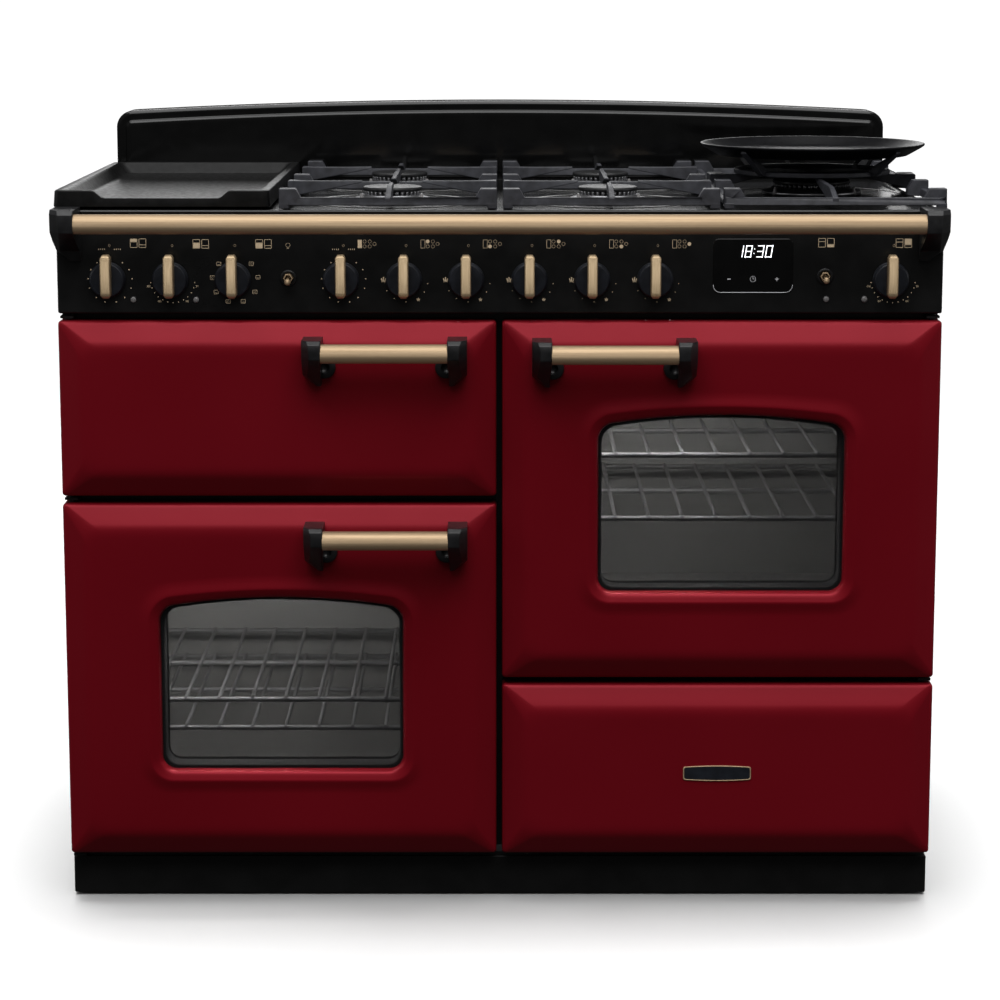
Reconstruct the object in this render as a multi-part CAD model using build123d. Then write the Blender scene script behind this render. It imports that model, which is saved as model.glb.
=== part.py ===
from build123d import *
import os
from math import cos, radians, sin

# A freestanding range cooker, 110 cm class, as an assembly of separate pieces.
# Millimetres. +X is to the user's right, -Y is the front, +Z is up, and the floor is Z = 0.

# Overall places
HALF_WIDTH = 541.5            # doors, control panel, plinth, side panels
EDGE_Y = -263.0               # plane of the doors' outer edges and of the hob tray's front
DOOR_BACK_Y = EDGE_Y + 30.0
FRAME_Y = DOOR_BACK_Y + 4.0   # face of the front frame, behind the doors
PANEL_Y = EDGE_Y + 3.0        # face of the control panel
PLINTH_Y = EDGE_Y + 20.0
REAR_PANEL_Y = 300.0
BACK_Y = 330.0
GUARD_Y = 275.0               # face of the backguard
HOB_Z = 875.0
GUARD_TOP_Z = 983.0
SHEET = 2.0
CLEAR = 0.5

# Door and drawer fronts: (left, right, bottom, top)
GRILL_DOOR = (-541.5, -4.5, 521.0, 739.0)
LEFT_DOOR = (-541.5, -4.5, 62.0, 511.0)
RIGHT_DOOR = (2.5, 541.5, 290.0, 739.0)
DRAWER_FRONT = (2.5, 541.5, 62.0, 281.5)
BEVEL = 29.0
RAISE = 15.0
FIELD_Y = EDGE_Y - RAISE
FIELD_R = 16.0
SKIN = 2.5

# Windows: (left, right, bottom, shoulder of the arch, rise of the arch)
LEFT_WINDOW = (-423.0, -120.5, 174.0, 380.0, 13.0)
RIGHT_WINDOW = (120.5, 424.5, 402.0, 609.0, 13.0)
WINDOW_LIP = 11.5
WINDOW_R = 18.0

# Door hinges
HINGE_INSET = 10.0            # from the door's side edge to the hinge axis
HINGE_Y = -247.0
PIN_R = 4.0
RUN_FIT = 0.05

# Door handles: (left end, right end, height of the rod)
ROD_R = 12.0
HANDLE_ROD_Y = EDGE_Y - 55.0
GRILL_HANDLE = (-240.0, -40.0, 706.0)
LEFT_HANDLE = (-240.0, -40.0, 476.0)
RIGHT_HANDLE = (39.0, 239.0, 704.5)
BRACKET_W = 24.0
RAIL_Y = EDGE_Y - 48.0
RAIL_Z = 862.0

# Cavities: (left, right, bottom, top, rear wall)
GRILL_CAVITY = (-495.0, -51.0, 560.0, 716.0, 150.0)
LEFT_CAVITY = (-495.0, -51.0, 96.0, 478.0, 190.0)
RIGHT_CAVITY = (50.0, 494.0, 322.0, 704.0, 190.0)
CAVITY_WALL = 2.0
DRAWER_MOUTH = (30.0, 514.0, 78.0, 268.0)
DRAWER_BOX = (52.0, 492.0, 92.0, 232.0)
DRAWER_DEPTH = 400.0

# Control panel: (left, right) of the display, its heights, and the controls' places
PANEL_BOTTOM_Z = 748.0
PANEL_TOP_Z = 869.0
KNOB_Z = 789.5
KNOB_X = {
    "grill_knob": -479.5,
    "left_oven_thermostat_knob": -403.0,
    "oven_function_knob": -326.5,
    "ceramic_zone_knob": -194.0,
    "burner_knob_1": -117.5,
    "burner_knob_2": -41.5,
    "burner_knob_3": 36.0,
    "burner_knob_4": 112.5,
    "burner_knob_5": 189.5,
    "right_oven_thermostat_knob": 477.5,
}
SWITCH_PLACES = {"light_switch": (-258.7, 792.0), "ignition_switch": (397.0, 794.0)}
LAMP_PLACES = [(-448.5, 765.0), (-371.8, 765.0), (399.0, 765.7), (445.7, 765.7)]
DISPLAY = (260.0, 358.0, 773.6, 840.0)
BADGE = (229.0, 314.0, 161.0, 181.0)

# Hob
SUPPORT_Y = (-251.0, 272.0)
LEFT_SUPPORT_X = (-270.0, -3.7)
CENTRE_SUPPORT_X = (3.7, 269.0)
RIGHT_SUPPORT_X = (274.0, 546.0)
GRIDDLE_X = (-546.0, -281.0)
BAR_W = 8.0
BAR_Z = (879.5, 886.5)
SUPPORT_FOOT = 11.5
SMALL_REACH = 38.0             # from a small burner's centre to its finger tips
FINGER_Z = 900.0
SMALL_BURNERS = [(-137.0, -108.0), (-137.0, 145.0), (137.0, -108.0), (137.0, 145.0)]
WOK_BURNER = (410.0, 12.0)
BURNER_R = 48.5
WOK_R = 65.0
DISH_BASE = (124.0, 925.0)
DISH_RIM = (146.5, 941.0)

# Feet and rollers
FOOT_PLACES = [(-480.0, -190.0), (480.0, -190.0)]
FOOT_R = 22.0
STUD_R = 6.0
ROLLER_X = (-430.0, 430.0)
ROLLER_Y = 240.0
ROLLER_R = 20.0
BASE_Z = (60.0, 62.0)


def save(name, shape):
    """Write one sub-part, alone in its own file."""
    export_step(shape, f"parts/{name}.step")


def group(solids):
    """Several separate solids that make one sub-part."""
    return Compound(children=[s for piece in solids for s in piece.solids()])


def block(x0, x1, y0, y1, z0, z1):
    """A box between three pairs of limits."""
    return Pos((x0 + x1) / 2, (y0 + y1) / 2, (z0 + z1) / 2) * Box(x1 - x0, y1 - y0, z1 - z0)


def rod_x(radius, x0, x1, y, z):
    return Pos((x0 + x1) / 2, y, z) * Rot(0, 90, 0) * Cylinder(radius, x1 - x0)


def rod_y(radius, x, y0, y1, z):
    return Pos(x, (y0 + y1) / 2, z) * Rot(90, 0, 0) * Cylinder(radius, y1 - y0)


def rod_z(radius, x, y, z0, z1):
    return Pos(x, y, (z0 + z1) / 2) * Cylinder(radius, z1 - z0)


def facing(outline, y):
    """An outline drawn in X and Z, placed at a depth y and looking to the front."""
    return Plane.XZ.offset(-y) * outline


def slab(outline, y_back, y_front):
    """An outline drawn in X and Z, extruded from y_back forward to y_front."""
    return extrude(facing(outline, y_back), amount=y_back - y_front)


def rounded(limits, inset, radius):
    """A rounded rectangle drawn in X and Z, inset from its limits."""
    x0, x1, z0, z1 = limits
    size = (x1 - x0 - 2 * inset, z1 - z0 - 2 * inset)
    return Pos((x0 + x1) / 2, (z0 + z1) / 2) * RectangleRounded(*size, radius)


def arched(window, grow, radius):
    """A window outline with an arched top, grown outward all round."""
    x0, x1, z0, shoulder, rise = window
    x0, x1, z0, shoulder = x0 - grow, x1 + grow, z0 - grow, shoulder + grow
    sides = Polyline((x0, shoulder), (x0, z0), (x1, z0), (x1, shoulder))
    arch = ThreePointArc((x1, shoulder), ((x0 + x1) / 2, shoulder + rise), (x0, shoulder))
    face = make_face(sides + arch)
    return fillet(face.vertices(), radius)


def polygon(points):
    return make_face(Polyline(*points, close=True))


def swept_x(points, x0, x1):
    """A polygon drawn in Y and Z, extruded from x0 to x1."""
    return extrude(Plane.YZ.offset(x0) * polygon(points), amount=x1 - x0)


def swept_y(points, y0, y1):
    """A polygon drawn in X and Z, extruded between two depths."""
    return slab(polygon(points), y1, y0)


# ---------------------------------------------------------------- doors and drawer front

def pillow(limits, inset):
    """The solid inside a bevelled front, shrunk all round by an inset."""
    edge = rounded(limits, inset, 4.0)
    field = rounded(limits, inset + BEVEL - inset / 2, FIELD_R)
    skirt = slab(edge, DOOR_BACK_Y, EDGE_Y + inset / 2)
    crown = loft([facing(edge, EDGE_Y + inset / 2), facing(field, FIELD_Y + inset)], ruled=True)
    return skirt + crown


def door_panel(limits):
    """A pressed front: side skirt, bevel and raised field, open at the back."""
    return pillow(limits, 0.0) - pillow(limits, SKIN)


def windowed_panel(limits, window):
    """A pressed front with a lipped window hole that slopes in to the glass."""
    seat_y = FIELD_Y + 9.0
    lip = arched(window, WINDOW_LIP, WINDOW_R + 8.0)
    hole = arched(window, 0.0, WINDOW_R)
    collar = slab(arched(window, WINDOW_LIP + 2.0, WINDOW_R + 10.0), seat_y, FIELD_Y + 1.0)
    recess = loft([facing(lip, FIELD_Y - 0.01), facing(hole, seat_y - 1.5)], ruled=True)
    return door_panel(limits) + collar - recess - slab(hole, DOOR_BACK_Y, FIELD_Y)


def door_glass(window):
    """The outer pane behind the lip and the inner pane of the liner."""
    outer = slab(arched(window, 12.0, WINDOW_R + 10.0), FIELD_Y + 13.5, FIELD_Y + 9.5)
    inner = slab(arched(window, 8.0, WINDOW_R + 6.0), DOOR_BACK_Y - 2.5, DOOR_BACK_Y - 6.5)
    return group([outer, inner])


def door_liner(limits, hinge_x, window=None):
    """The inner pan that closes a door's back, with a hinge block at each hinge corner."""
    x0, x1, z0, z1 = limits
    gap = SKIN + CLEAR
    pan = slab(rounded(limits, gap, 5.0), DOOR_BACK_Y, DOOR_BACK_Y - 22.0)
    pan -= slab(rounded(limits, gap + 1.5, 4.0), DOOR_BACK_Y - 2.0, DOOR_BACK_Y - 23.0)
    if window:
        pan -= slab(arched(window, -6.0, WINDOW_R - 4.0), DOOR_BACK_Y + 1.0, DOOR_BACK_Y - 3.0)
    inward = 1.0 if hinge_x < 0 else -1.0
    side_x = hinge_x - inward * (HINGE_INSET - gap)
    for low, high in ((z0 + gap, z0 + 30.0), (z1 - 30.0, z1 - gap)):
        xs = sorted((side_x, side_x + inward * 26.0))
        corner = slab(rounded(limits, gap, 5.0), DOOR_BACK_Y, HINGE_Y - 9.0)
        pan += corner & block(*xs, HINGE_Y - 9.0, DOOR_BACK_Y - 1.0, low, high)
    bore = PIN_R + RUN_FIT
    pan -= rod_z(bore, hinge_x, HINGE_Y, z0 - 1.0, z0 + 20.0)
    pan -= rod_z(bore, hinge_x, HINGE_Y, z1 - 20.0, z1 + 1.0)
    return pan


def hinge_holes(panel, limits, hinge_x):
    """Clearance holes for the hinge pins in a panel's top and bottom skirts."""
    for z in limits[2:]:
        panel -= rod_z(PIN_R + 1.5, hinge_x, HINGE_Y, z - 5.0, z + 5.0)
    return panel


def bracket(x_outer, rod_y_place, face_y, rod_z_place, inward):
    """A handle end: a wedge arm that carries the rod, and a lobed foot on the door."""
    profile = [
        (face_y, 16.0), (rod_y_place - ROD_R, 16.0), (rod_y_place - ROD_R, -4.0),
        (rod_y_place + 2.0, -20.0), (face_y - 10.0, -44.0), (face_y, -44.0),
    ]
    profile = [(y, z + rod_z_place) for y, z in profile]
    xs = sorted((x_outer, x_outer + inward * BRACKET_W))
    arm = swept_x(profile, *xs)
    front = [(0, 16), (0, -28), (16, -44), (22, -44), (BRACKET_W, -32), (BRACKET_W, 16)]
    front = [(x_outer + inward * x, z + rod_z_place) for x, z in front]
    arm &= swept_y(front, rod_y_place - 40.0, face_y + 1.0)
    lobe_x = x_outer + inward * (BRACKET_W + 2.0)
    foot = rod_y(13.0, lobe_x, face_y - 5.0, face_y, rod_z_place - 22.0)
    return arm + foot


def door_handle(handle):
    """A round rod between two brackets that stand on the door's raised field."""
    x0, x1, z = handle
    grip = rod_x(ROD_R - 0.5, x0 + BRACKET_W, x1 - BRACKET_W, HANDLE_ROD_Y, z)
    ends = [bracket(x, HANDLE_ROD_Y, FIELD_Y, z, s) for x, s in ((x0, 1.0), (x1, -1.0))]
    return group([grip, *ends])


LEFT_HINGE_X = -HALF_WIDTH + HINGE_INSET
RIGHT_HINGE_X = HALF_WIDTH - HINGE_INSET


def make_doors():
    """The three side-hung doors."""
    doors = {
        "grill_door": (GRILL_DOOR, LEFT_HINGE_X, None, GRILL_HANDLE),
        "left_oven_door": (LEFT_DOOR, LEFT_HINGE_X, LEFT_WINDOW, LEFT_HANDLE),
        "right_oven_door": (RIGHT_DOOR, RIGHT_HINGE_X, RIGHT_WINDOW, RIGHT_HANDLE),
    }
    for name, (limits, hinge_x, window, handle) in doors.items():
        panel = windowed_panel(limits, window) if window else door_panel(limits)
        save(f"{name}_panel", hinge_holes(panel, limits, hinge_x))
        save(f"{name}_liner", door_liner(limits, hinge_x, window))
        save(f"{name}_handle", door_handle(handle))
        if window:
            save(f"{name}_glass", door_glass(window))


def make_drawer():
    """The handle-less drawer: front, open box and badge plate."""
    front = door_panel(DRAWER_FRONT)
    back_plate = slab(rounded(DRAWER_FRONT, SKIN + CLEAR, 5.0), DOOR_BACK_Y, DOOR_BACK_Y - SHEET)
    save("drawer_front", front)
    x0, x1, z0, z1 = DRAWER_BOX
    y0, y1 = DOOR_BACK_Y, DOOR_BACK_Y + DRAWER_DEPTH
    tray = block(x0, x1, y0, y1, z0, z1)
    tray -= block(x0 + SHEET, x1 - SHEET, y0 + SHEET, y1 - SHEET, z0 + SHEET, z1 + 1.0)
    slides = [block(*xs, y0, y1, 132.0, 138.0) for xs in ((x0 - 8.0, x0), (x1, x1 + 8.0))]
    box = tray + back_plate
    for slide in slides:
        box += slide
    save("drawer_box", box)
    left, right, low, high = BADGE
    outline = polygon([(left, low), (right, low), (right, high), (left, high)])
    outline = fillet(outline.vertices(), 3.0)
    save("badge_plate", slab(outline, FIELD_Y, FIELD_Y - 1.5))


# ---------------------------------------------------------------- body

def make_base():
    """Floor of the body, with stiffening rails, foot bosses and roller forks."""
    half, y0, y1 = HALF_WIDTH - 4.0, FRAME_Y + 6.0, REAR_PANEL_Y - 4.0
    plate = block(-half, half, y0, y1, *BASE_Z)
    rails = [
        block(-half, half, y0, y0 + 20.0, 30.0, BASE_Z[0]),
        block(-half, half, y1 - 20.0, y1, 30.0, BASE_Z[0]),
        block(-half, -half + 20.0, y0 + 20.0, y1 - 20.0, 30.0, BASE_Z[0]),
        block(half - 20.0, half, y0 + 20.0, y1 - 20.0, 30.0, BASE_Z[0]),
    ]
    bosses = []
    for x, y in FOOT_PLACES:
        plate -= rod_z(STUD_R + RUN_FIT, x, y, BASE_Z[0] - 1.0, BASE_Z[1] + 1.0)
        boss = rod_z(16.0, x, y, 32.0, BASE_Z[0])
        bosses.append(boss - rod_z(STUD_R + RUN_FIT, x, y, 31.0, BASE_Z[0] + 1.0))
    forks = []
    for x in ROLLER_X:
        for side in (-1.0, 1.0):
            xs = sorted((x + side * 18.0, x + side * 22.0))
            cheek = block(*xs, ROLLER_Y - 15.0, ROLLER_Y + 15.0, ROLLER_R - 10.0, BASE_Z[0])
            forks.append(cheek - rod_x(PIN_R + RUN_FIT, xs[0] - 1.0, xs[1] + 1.0, ROLLER_Y, ROLLER_R))
    save("base_frame", group([plate, *rails, *bosses, *forks]))


def make_feet():
    """Two screw-in front feet, and two rear rollers on one line."""
    feet = []
    for x, y in FOOT_PLACES:
        feet.append(rod_z(FOOT_R, x, y, 0.0, 8.0) + rod_z(STUD_R, x, y, 8.0, 86.0))
    save("levelling_feet", group(feet))
    rollers = []
    for x in ROLLER_X:
        wheel = rod_x(ROLLER_R, x - 16.0, x + 16.0, ROLLER_Y, ROLLER_R)
        rollers.append(wheel + rod_x(PIN_R, x - 24.0, x + 24.0, ROLLER_Y, ROLLER_R))
    save("rear_rollers", group(rollers))


def make_shell():
    """Plinth, side panels, rear panel and the frame behind the doors."""
    front = block(-HALF_WIDTH, HALF_WIDTH, PLINTH_Y, PLINTH_Y + SHEET, 3.0, 52.0)
    for s in (-1.0, 1.0):
        xs = sorted((s * HALF_WIDTH, s * (HALF_WIDTH - SHEET)))
        front += block(*xs, PLINTH_Y, FRAME_Y + 1.5, 3.0, 52.0)
    front += block(-HALF_WIDTH, HALF_WIDTH, PLINTH_Y, PLINTH_Y + 12.0, 50.0, 52.0)
    save("plinth", front)

    sides = []
    for s in (-1.0, 1.0):
        outer, inner = s * HALF_WIDTH, s * (HALF_WIDTH - 1.5)
        sheet = block(*sorted((outer, inner)), FRAME_Y + SHEET, 318.0, 20.0, 868.0)
        lip = sorted((inner, s * (HALF_WIDTH - 16.0)))
        sheet += block(*lip, 316.5, 318.0, 20.0, 868.0)
        sides.append(sheet)
    save("side_panels", group(sides))

    half = HALF_WIDTH - 17.0
    rear = block(-half, half, REAR_PANEL_Y - 1.5, REAR_PANEL_Y, 22.0, 866.0)
    for row in range(5):
        for x in (-270.0, 270.0):
            z = 220.0 + row * 24.0
            rear -= slab(Pos(x, z) * SlotOverall(180.0, 7.0), REAR_PANEL_Y + 1.0, REAR_PANEL_Y - 3.0)
    save("back_panel", rear)

    half = HALF_WIDTH - 1.5
    face = block(-half, half, FRAME_Y, FRAME_Y + SHEET, BASE_Z[1], 746.0)
    for hole in (GRILL_CAVITY[:4], LEFT_CAVITY[:4], RIGHT_CAVITY[:4], DRAWER_MOUTH):
        face -= slab(rounded(hole, 0.0, 6.0), FRAME_Y + SHEET + 1.0, FRAME_Y - 1.0)
    save("front_frame", face)


def make_hinges():
    """Fixed hinge plates with their pins, in the gaps above, between and below the doors."""
    pieces = []
    stations = [
        (LEFT_HINGE_X, 741.5, (-1,)), (LEFT_HINGE_X, 514.5, (-1, 1)), (LEFT_HINGE_X, 56.0, (1,)),
        (RIGHT_HINGE_X, 741.5, (-1,)), (RIGHT_HINGE_X, 284.2, (1,)),
    ]
    for x, z, ways in stations:
        plate = block(x - 8.0, x + 8.0, HINGE_Y - 8.0, FRAME_Y, z, z + 3.0)
        for way in ways:
            ends = (z - 14.0, z) if way < 0 else (z + 3.0, z + 17.0)
            plate += rod_z(PIN_R, x, HINGE_Y, *ends)
        pieces.append(plate)
    save("hinge_brackets", group(pieces))


def cavity(limits):
    """An open-fronted enamelled box."""
    x0, x1, z0, z1, rear = limits
    w, y0 = CAVITY_WALL, FRAME_Y + SHEET
    shell = block(x0 - w, x1 + w, y0, rear + w, z0 - w, z1 + w)
    return shell - block(x0, x1, y0 - 1.0, rear, z0, z1)


def wire_shelf(limits, z):
    """A chromed shelf: two side rails, cross bars and eleven long wires."""
    x0, x1 = limits[0] + 4.0, limits[1] - 4.0
    y0, y1 = FRAME_Y + 25.0, limits[4] - 30.0
    shelf = rod_x(3.5, x0, x1, y0, z) + rod_x(3.5, x0, x1, y1, z) + rod_x(3.5, x0, x1, -20.0, z)
    wires = 11
    for i in range(wires):
        x = x0 + 6.0 + i * (x1 - x0 - 12.0) / (wires - 1)
        shelf += rod_y(2.5, x, y0 - 4.0, y1 + 4.0, z + 2.0)
    return shelf


def element(x0, x1, y0, y1, z, loops):
    """A tubular heating element bent into flat hairpins."""
    pitch = (x1 - x0) / (2 * loops - 1)
    points = []
    for i in range(2 * loops):
        ends = (y1, y0) if i % 2 == 0 else (y0, y1)
        points += [(x0 + i * pitch, y, z) for y in ends]
    path = FilletPolyline(*points, radius=pitch * 0.45)
    return sweep(Plane(path @ 0, z_dir=path % 0) * Circle(3.5), path=path)


def make_cavities():
    """The three cavities with their seals, shelves, elements and grill pan."""
    save("grill_cavity", cavity(GRILL_CAVITY))
    save("left_oven_cavity", cavity(LEFT_CAVITY))
    save("right_oven_cavity", cavity(RIGHT_CAVITY))
    seals = []
    for limits in (GRILL_CAVITY, LEFT_CAVITY, RIGHT_CAVITY):
        rim = slab(rounded(limits[:4], -14.0, 14.0), FRAME_Y, FRAME_Y - 3.5)
        seals.append(rim - slab(rounded(limits[:4], -6.0, 8.0), FRAME_Y + 1.0, FRAME_Y - 4.0))
    save("door_seals", group(seals))
    shelves = [wire_shelf(LEFT_CAVITY, z) for z in (209.0, 246.0)]
    shelves += [wire_shelf(RIGHT_CAVITY, z) for z in (481.0, 562.0)]
    save("oven_shelves", group(shelves))
    top = GRILL_CAVITY[3] - 12.0
    grill = element(-430.0, -116.0, -180.0, 90.0, top, 4)
    left = element(-430.0, -116.0, -150.0, 130.0, LEFT_CAVITY[3] - 14.0, 3)
    right = element(116.0, 430.0, -150.0, 130.0, RIGHT_CAVITY[3] - 14.0, 3)
    save("heating_elements", group([grill, left, right]))
    pan = block(-470.0, -76.0, -205.0, 110.0, 584.0, 614.0)
    pan -= block(-466.0, -80.0, -201.0, 106.0, 587.0, 615.0)
    rest = block(-494.0, -470.0, -205.0, 110.0, 608.0, 611.0)
    rest += block(-76.0, -52.0, -205.0, 110.0, 608.0, 611.0)
    save("grill_pan", pan + rest)


def make_runners():
    """Two ledges that carry the drawer, each on two legs from the base."""
    x0, x1 = DRAWER_BOX[:2]
    y0, y1 = FRAME_Y + SHEET, DOOR_BACK_Y + DRAWER_DEPTH + 6.0
    pieces = []
    for s, edge in ((-1.0, x0), (1.0, x1)):
        near, far = edge + s * 2.0, edge + s * 14.0
        wall = edge + s * 12.0
        rail = block(*sorted((near, far)), y0, y1, 128.0, 131.5)
        rail += block(*sorted((wall, far)), y0, y1, 131.0, 146.0)
        for leg_y in (y0, y1 - 20.0):
            rail += block(*sorted((wall, far)), leg_y, leg_y + 20.0, BASE_Z[1], 131.0)
        pieces.append(rail)
    save("drawer_runners", group(pieces))


def make_rear_connections():
    """Gas inlet stub pointing down, and the mains terminal box with its cable gland."""
    y = REAR_PANEL_Y
    inlet = block(440.0, 476.0, y, y + 28.0, 790.0, 822.0)
    inlet += rod_z(10.5, 458.0, y + 14.0, 762.0, 791.0)
    box = block(-480.0, -370.0, y, y + 26.0, 730.0, 810.0)
    box += rod_z(12.0, -425.0, y + 13.0, 704.0, 731.0)
    box -= rod_z(7.0, -425.0, y + 13.0, 703.0, 733.0)
    save("rear_connections", group([inlet, box]))


# ---------------------------------------------------------------- control panel

def make_control_panel():
    """The pressed control panel with its bushes, lamps, display and switch bezels."""
    x = HALF_WIDTH
    panel = block(-x, x, PANEL_Y, FRAME_Y, PANEL_BOTTOM_Z, PANEL_TOP_Z)
    panel -= block(-x + SHEET, x - SHEET, PANEL_Y + SHEET, FRAME_Y + 1.0,
                   PANEL_BOTTOM_Z + SHEET, PANEL_TOP_Z - SHEET)
    for knob_x in KNOB_X.values():
        panel += rod_y(8.0, knob_x, PANEL_Y + 1.0, PANEL_Y + 12.0, KNOB_Z)
        panel -= rod_y(3.0 + RUN_FIT, knob_x, PANEL_Y - 1.0, PANEL_Y + 13.0, KNOB_Z)
    for place in SWITCH_PLACES.values():
        panel -= rod_y(7.0, place[0], PANEL_Y - 1.0, PANEL_Y + 5.0, place[1])
    for place in LAMP_PLACES:
        panel -= rod_y(3.0, place[0], PANEL_Y - 1.0, PANEL_Y + 5.0, place[1])
    inner = rounded(DISPLAY, 2.0, 6.0)
    panel -= slab(inner, PANEL_Y + 5.0, PANEL_Y - 1.0)
    save("control_panel", panel)

    screen = slab(rounded(DISPLAY, 0.0, 8.0), PANEL_Y, PANEL_Y - 1.0)
    screen += slab(rounded(DISPLAY, 3.0, 5.0), PANEL_Y + 14.0, PANEL_Y)
    save("clock_display", screen)

    lamps = []
    for lx, lz in LAMP_PLACES:
        lamps.append(rod_y(3.8, lx, PANEL_Y - 2.0, PANEL_Y, lz) + rod_y(3.0, lx, PANEL_Y, PANEL_Y + 12.0, lz))
    save("indicator_lamps", group(lamps))

    bezels = []
    for sx, sz in SWITCH_PLACES.values():
        bezel = rod_y(10.0, sx, PANEL_Y - 3.0, PANEL_Y, sz) + rod_y(7.0, sx, PANEL_Y, PANEL_Y + 14.0, sz)
        bezel += rod_y(6.2, sx, PANEL_Y - 7.0, PANEL_Y - 3.0, sz)
        bezels.append(bezel - rod_y(4.2, sx, PANEL_Y - 8.0, PANEL_Y + 12.0, sz))
    save("switch_bezels", group(bezels))


def make_switches():
    """Two ball-ended levers, stored in their lower position."""
    droop = radians(12.0)
    for name, (x, z) in SWITCH_PLACES.items():
        pivot = (x, PANEL_Y + 1.0, z)
        reach = 17.0
        tip = (x, pivot[1] - reach * cos(droop), z - reach * sin(droop))
        stem = Plane(origin=pivot, z_dir=(0, -cos(droop), -sin(droop)))
        lever = rod_x(3.0, x - 2.5, x + 2.5, pivot[1], z)
        lever += extrude(stem * Circle(1.8), amount=reach)
        lever += Pos(*tip) * Sphere(4.0)
        save(f"{name}_lever", lever)


def make_knobs():
    """Ten equal control knobs: a round skirt on a spindle, and a bar grip."""
    skirt_r, grip_w, grip_low, grip_high = 22.3, 12.4, -21.0, 32.0
    skirt_back, skirt_front, grip_front = PANEL_Y - 0.6, PANEL_Y - 10.0, PANEL_Y - 35.0
    for name, x in KNOB_X.items():
        skirt = rod_y(skirt_r, x, skirt_front, skirt_back, KNOB_Z)
        skirt = chamfer(skirt.edges().group_by(Axis.Y)[0], 1.5)
        skirt += rod_y(3.0, x, skirt_back, PANEL_Y + 22.0, KNOB_Z)
        bounds = (x - grip_w / 2, x + grip_w / 2, KNOB_Z + grip_low, KNOB_Z + grip_high)
        grip = slab(rounded(bounds, 0.0, 3.0), skirt_front, grip_front)
        grip = fillet(grip.faces().sort_by(Axis.Y)[0].edges(), 2.0)
        save(name, group([skirt, grip]))


# ---------------------------------------------------------------- handrail, hob and backguard

def make_handrail():
    """The towel rail and its two end brackets."""
    grip_half = 517.0
    save("handrail", rod_x(ROD_R, -grip_half, grip_half, RAIL_Y, RAIL_Z))
    ends = []
    for s in (-1.0, 1.0):
        profile = [
            (PANEL_Y, 813.0), (PANEL_Y - 8.0, 813.0), (RAIL_Y - ROD_R - 1.0, 850.0),
            (RAIL_Y - ROD_R - 2.0, 873.0), (RAIL_Y - 6.0, 879.0), (EDGE_Y - 2.0, 879.0),
            (EDGE_Y - 2.0, 868.0), (PANEL_Y, 868.0),
        ]
        arm = swept_x(profile, *sorted((s * HALF_WIDTH, s * grip_half)))
        cut = [(s * 542.5, 812.0), (s * 542.5, 825.0), (s * 524.0, 812.0)]
        arm -= swept_y(cut, RAIL_Y - 40.0, PANEL_Y + 1.0)
        ends.append(arm)
    save("handrail_brackets", group(ends))


def make_hob():
    """Spill tray, ceramic zone, burner bases and burner caps."""
    half, y1 = 538.0, GUARD_Y - 3.0
    outline = fillet(Rectangle(2 * half, y1 - EDGE_Y).vertices(), 18.0)
    place = Pos(0, (EDGE_Y + y1) / 2, HOB_Z - 5.0)
    tray = place * extrude(outline, amount=5.0)
    inner = fillet(Rectangle(2 * half - 4.0, y1 - EDGE_Y - 4.0).vertices(), 16.0)
    tray -= Pos(0, (EDGE_Y + y1) / 2, HOB_Z - 6.0) * extrude(inner, amount=4.0)
    glass = (-500.0, -330.0, -200.0, 225.0)
    tray -= block(*glass, HOB_Z - 6.0, HOB_Z + 1.0)
    bases, caps = [], []
    burners = [(*place, BURNER_R) for place in SMALL_BURNERS] + [(*WOK_BURNER, WOK_R)]
    for x, y, r in burners:
        throat = r * 0.55
        tray -= rod_z(throat + 1.0, x, y, HOB_Z - 6.0, HOB_Z + 1.0)
        base = rod_z(r, x, y, HOB_Z, HOB_Z + 8.0) + rod_z(throat, x, y, HOB_Z - 18.0, HOB_Z + 13.0)
        bases.append(base - rod_z(throat - 4.0, x, y, HOB_Z - 14.0, HOB_Z + 14.0))
        cap = rod_z(r * 0.78, x, y, HOB_Z + 13.0, HOB_Z + 18.0)
        caps.append(fillet(cap.edges().group_by(Axis.Z)[-1], 2.5))
    save("hob_tray", tray)
    save("burner_bases", group(bases))
    save("burner_caps", group(caps))
    x0, x1, y0, y1 = glass
    pane = block(x0 + CLEAR, x1 - CLEAR, y0 + CLEAR, y1 - CLEAR, HOB_Z - 2.0, HOB_Z + 1.5)
    heater = rod_z(80.0, -415.0, 12.0, HOB_Z - 32.0, HOB_Z - 2.0)
    save("ceramic_zone", group([pane, heater]))


def make_backguard():
    """The upstand behind the hob: arched top, rounded corners and an open back."""
    half, side_z, low_z, corner = HALF_WIDTH, 968.0, 869.0, 20.0

    def outline(inset):
        top = side_z - inset
        sides = Polyline((-half + inset, top), (-half + inset, low_z), (half - inset, low_z),
                         (half - inset, top))
        arch = ThreePointArc((half - inset, top), (0, GUARD_TOP_Z - inset), (-half + inset, top))
        face = make_face(sides + arch)
        tops = [v for v in face.vertices() if v.Y > low_z + 50.0]
        return fillet(tops, corner - inset)

    guard = slab(outline(0.0), BACK_Y, GUARD_Y) - slab(outline(2.5), BACK_Y + 1.0, GUARD_Y + 2.5)
    save("backguard", guard)


def finger_x(x_frame, x_tip, y):
    """A pan finger along X: full height at its tip, arched below."""
    s = 1.0 if x_tip > x_frame else -1.0
    points = [
        (x_frame, BAR_Z[0]), (x_frame, FINGER_Z), (x_tip, FINGER_Z), (x_tip, FINGER_Z - 5.0),
        (x_tip - s * 40.0, FINGER_Z - 12.0), (x_frame + s * 12.0, BAR_Z[0]),
    ]
    return swept_y(points, y - BAR_W / 2, y + BAR_W / 2)


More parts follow.
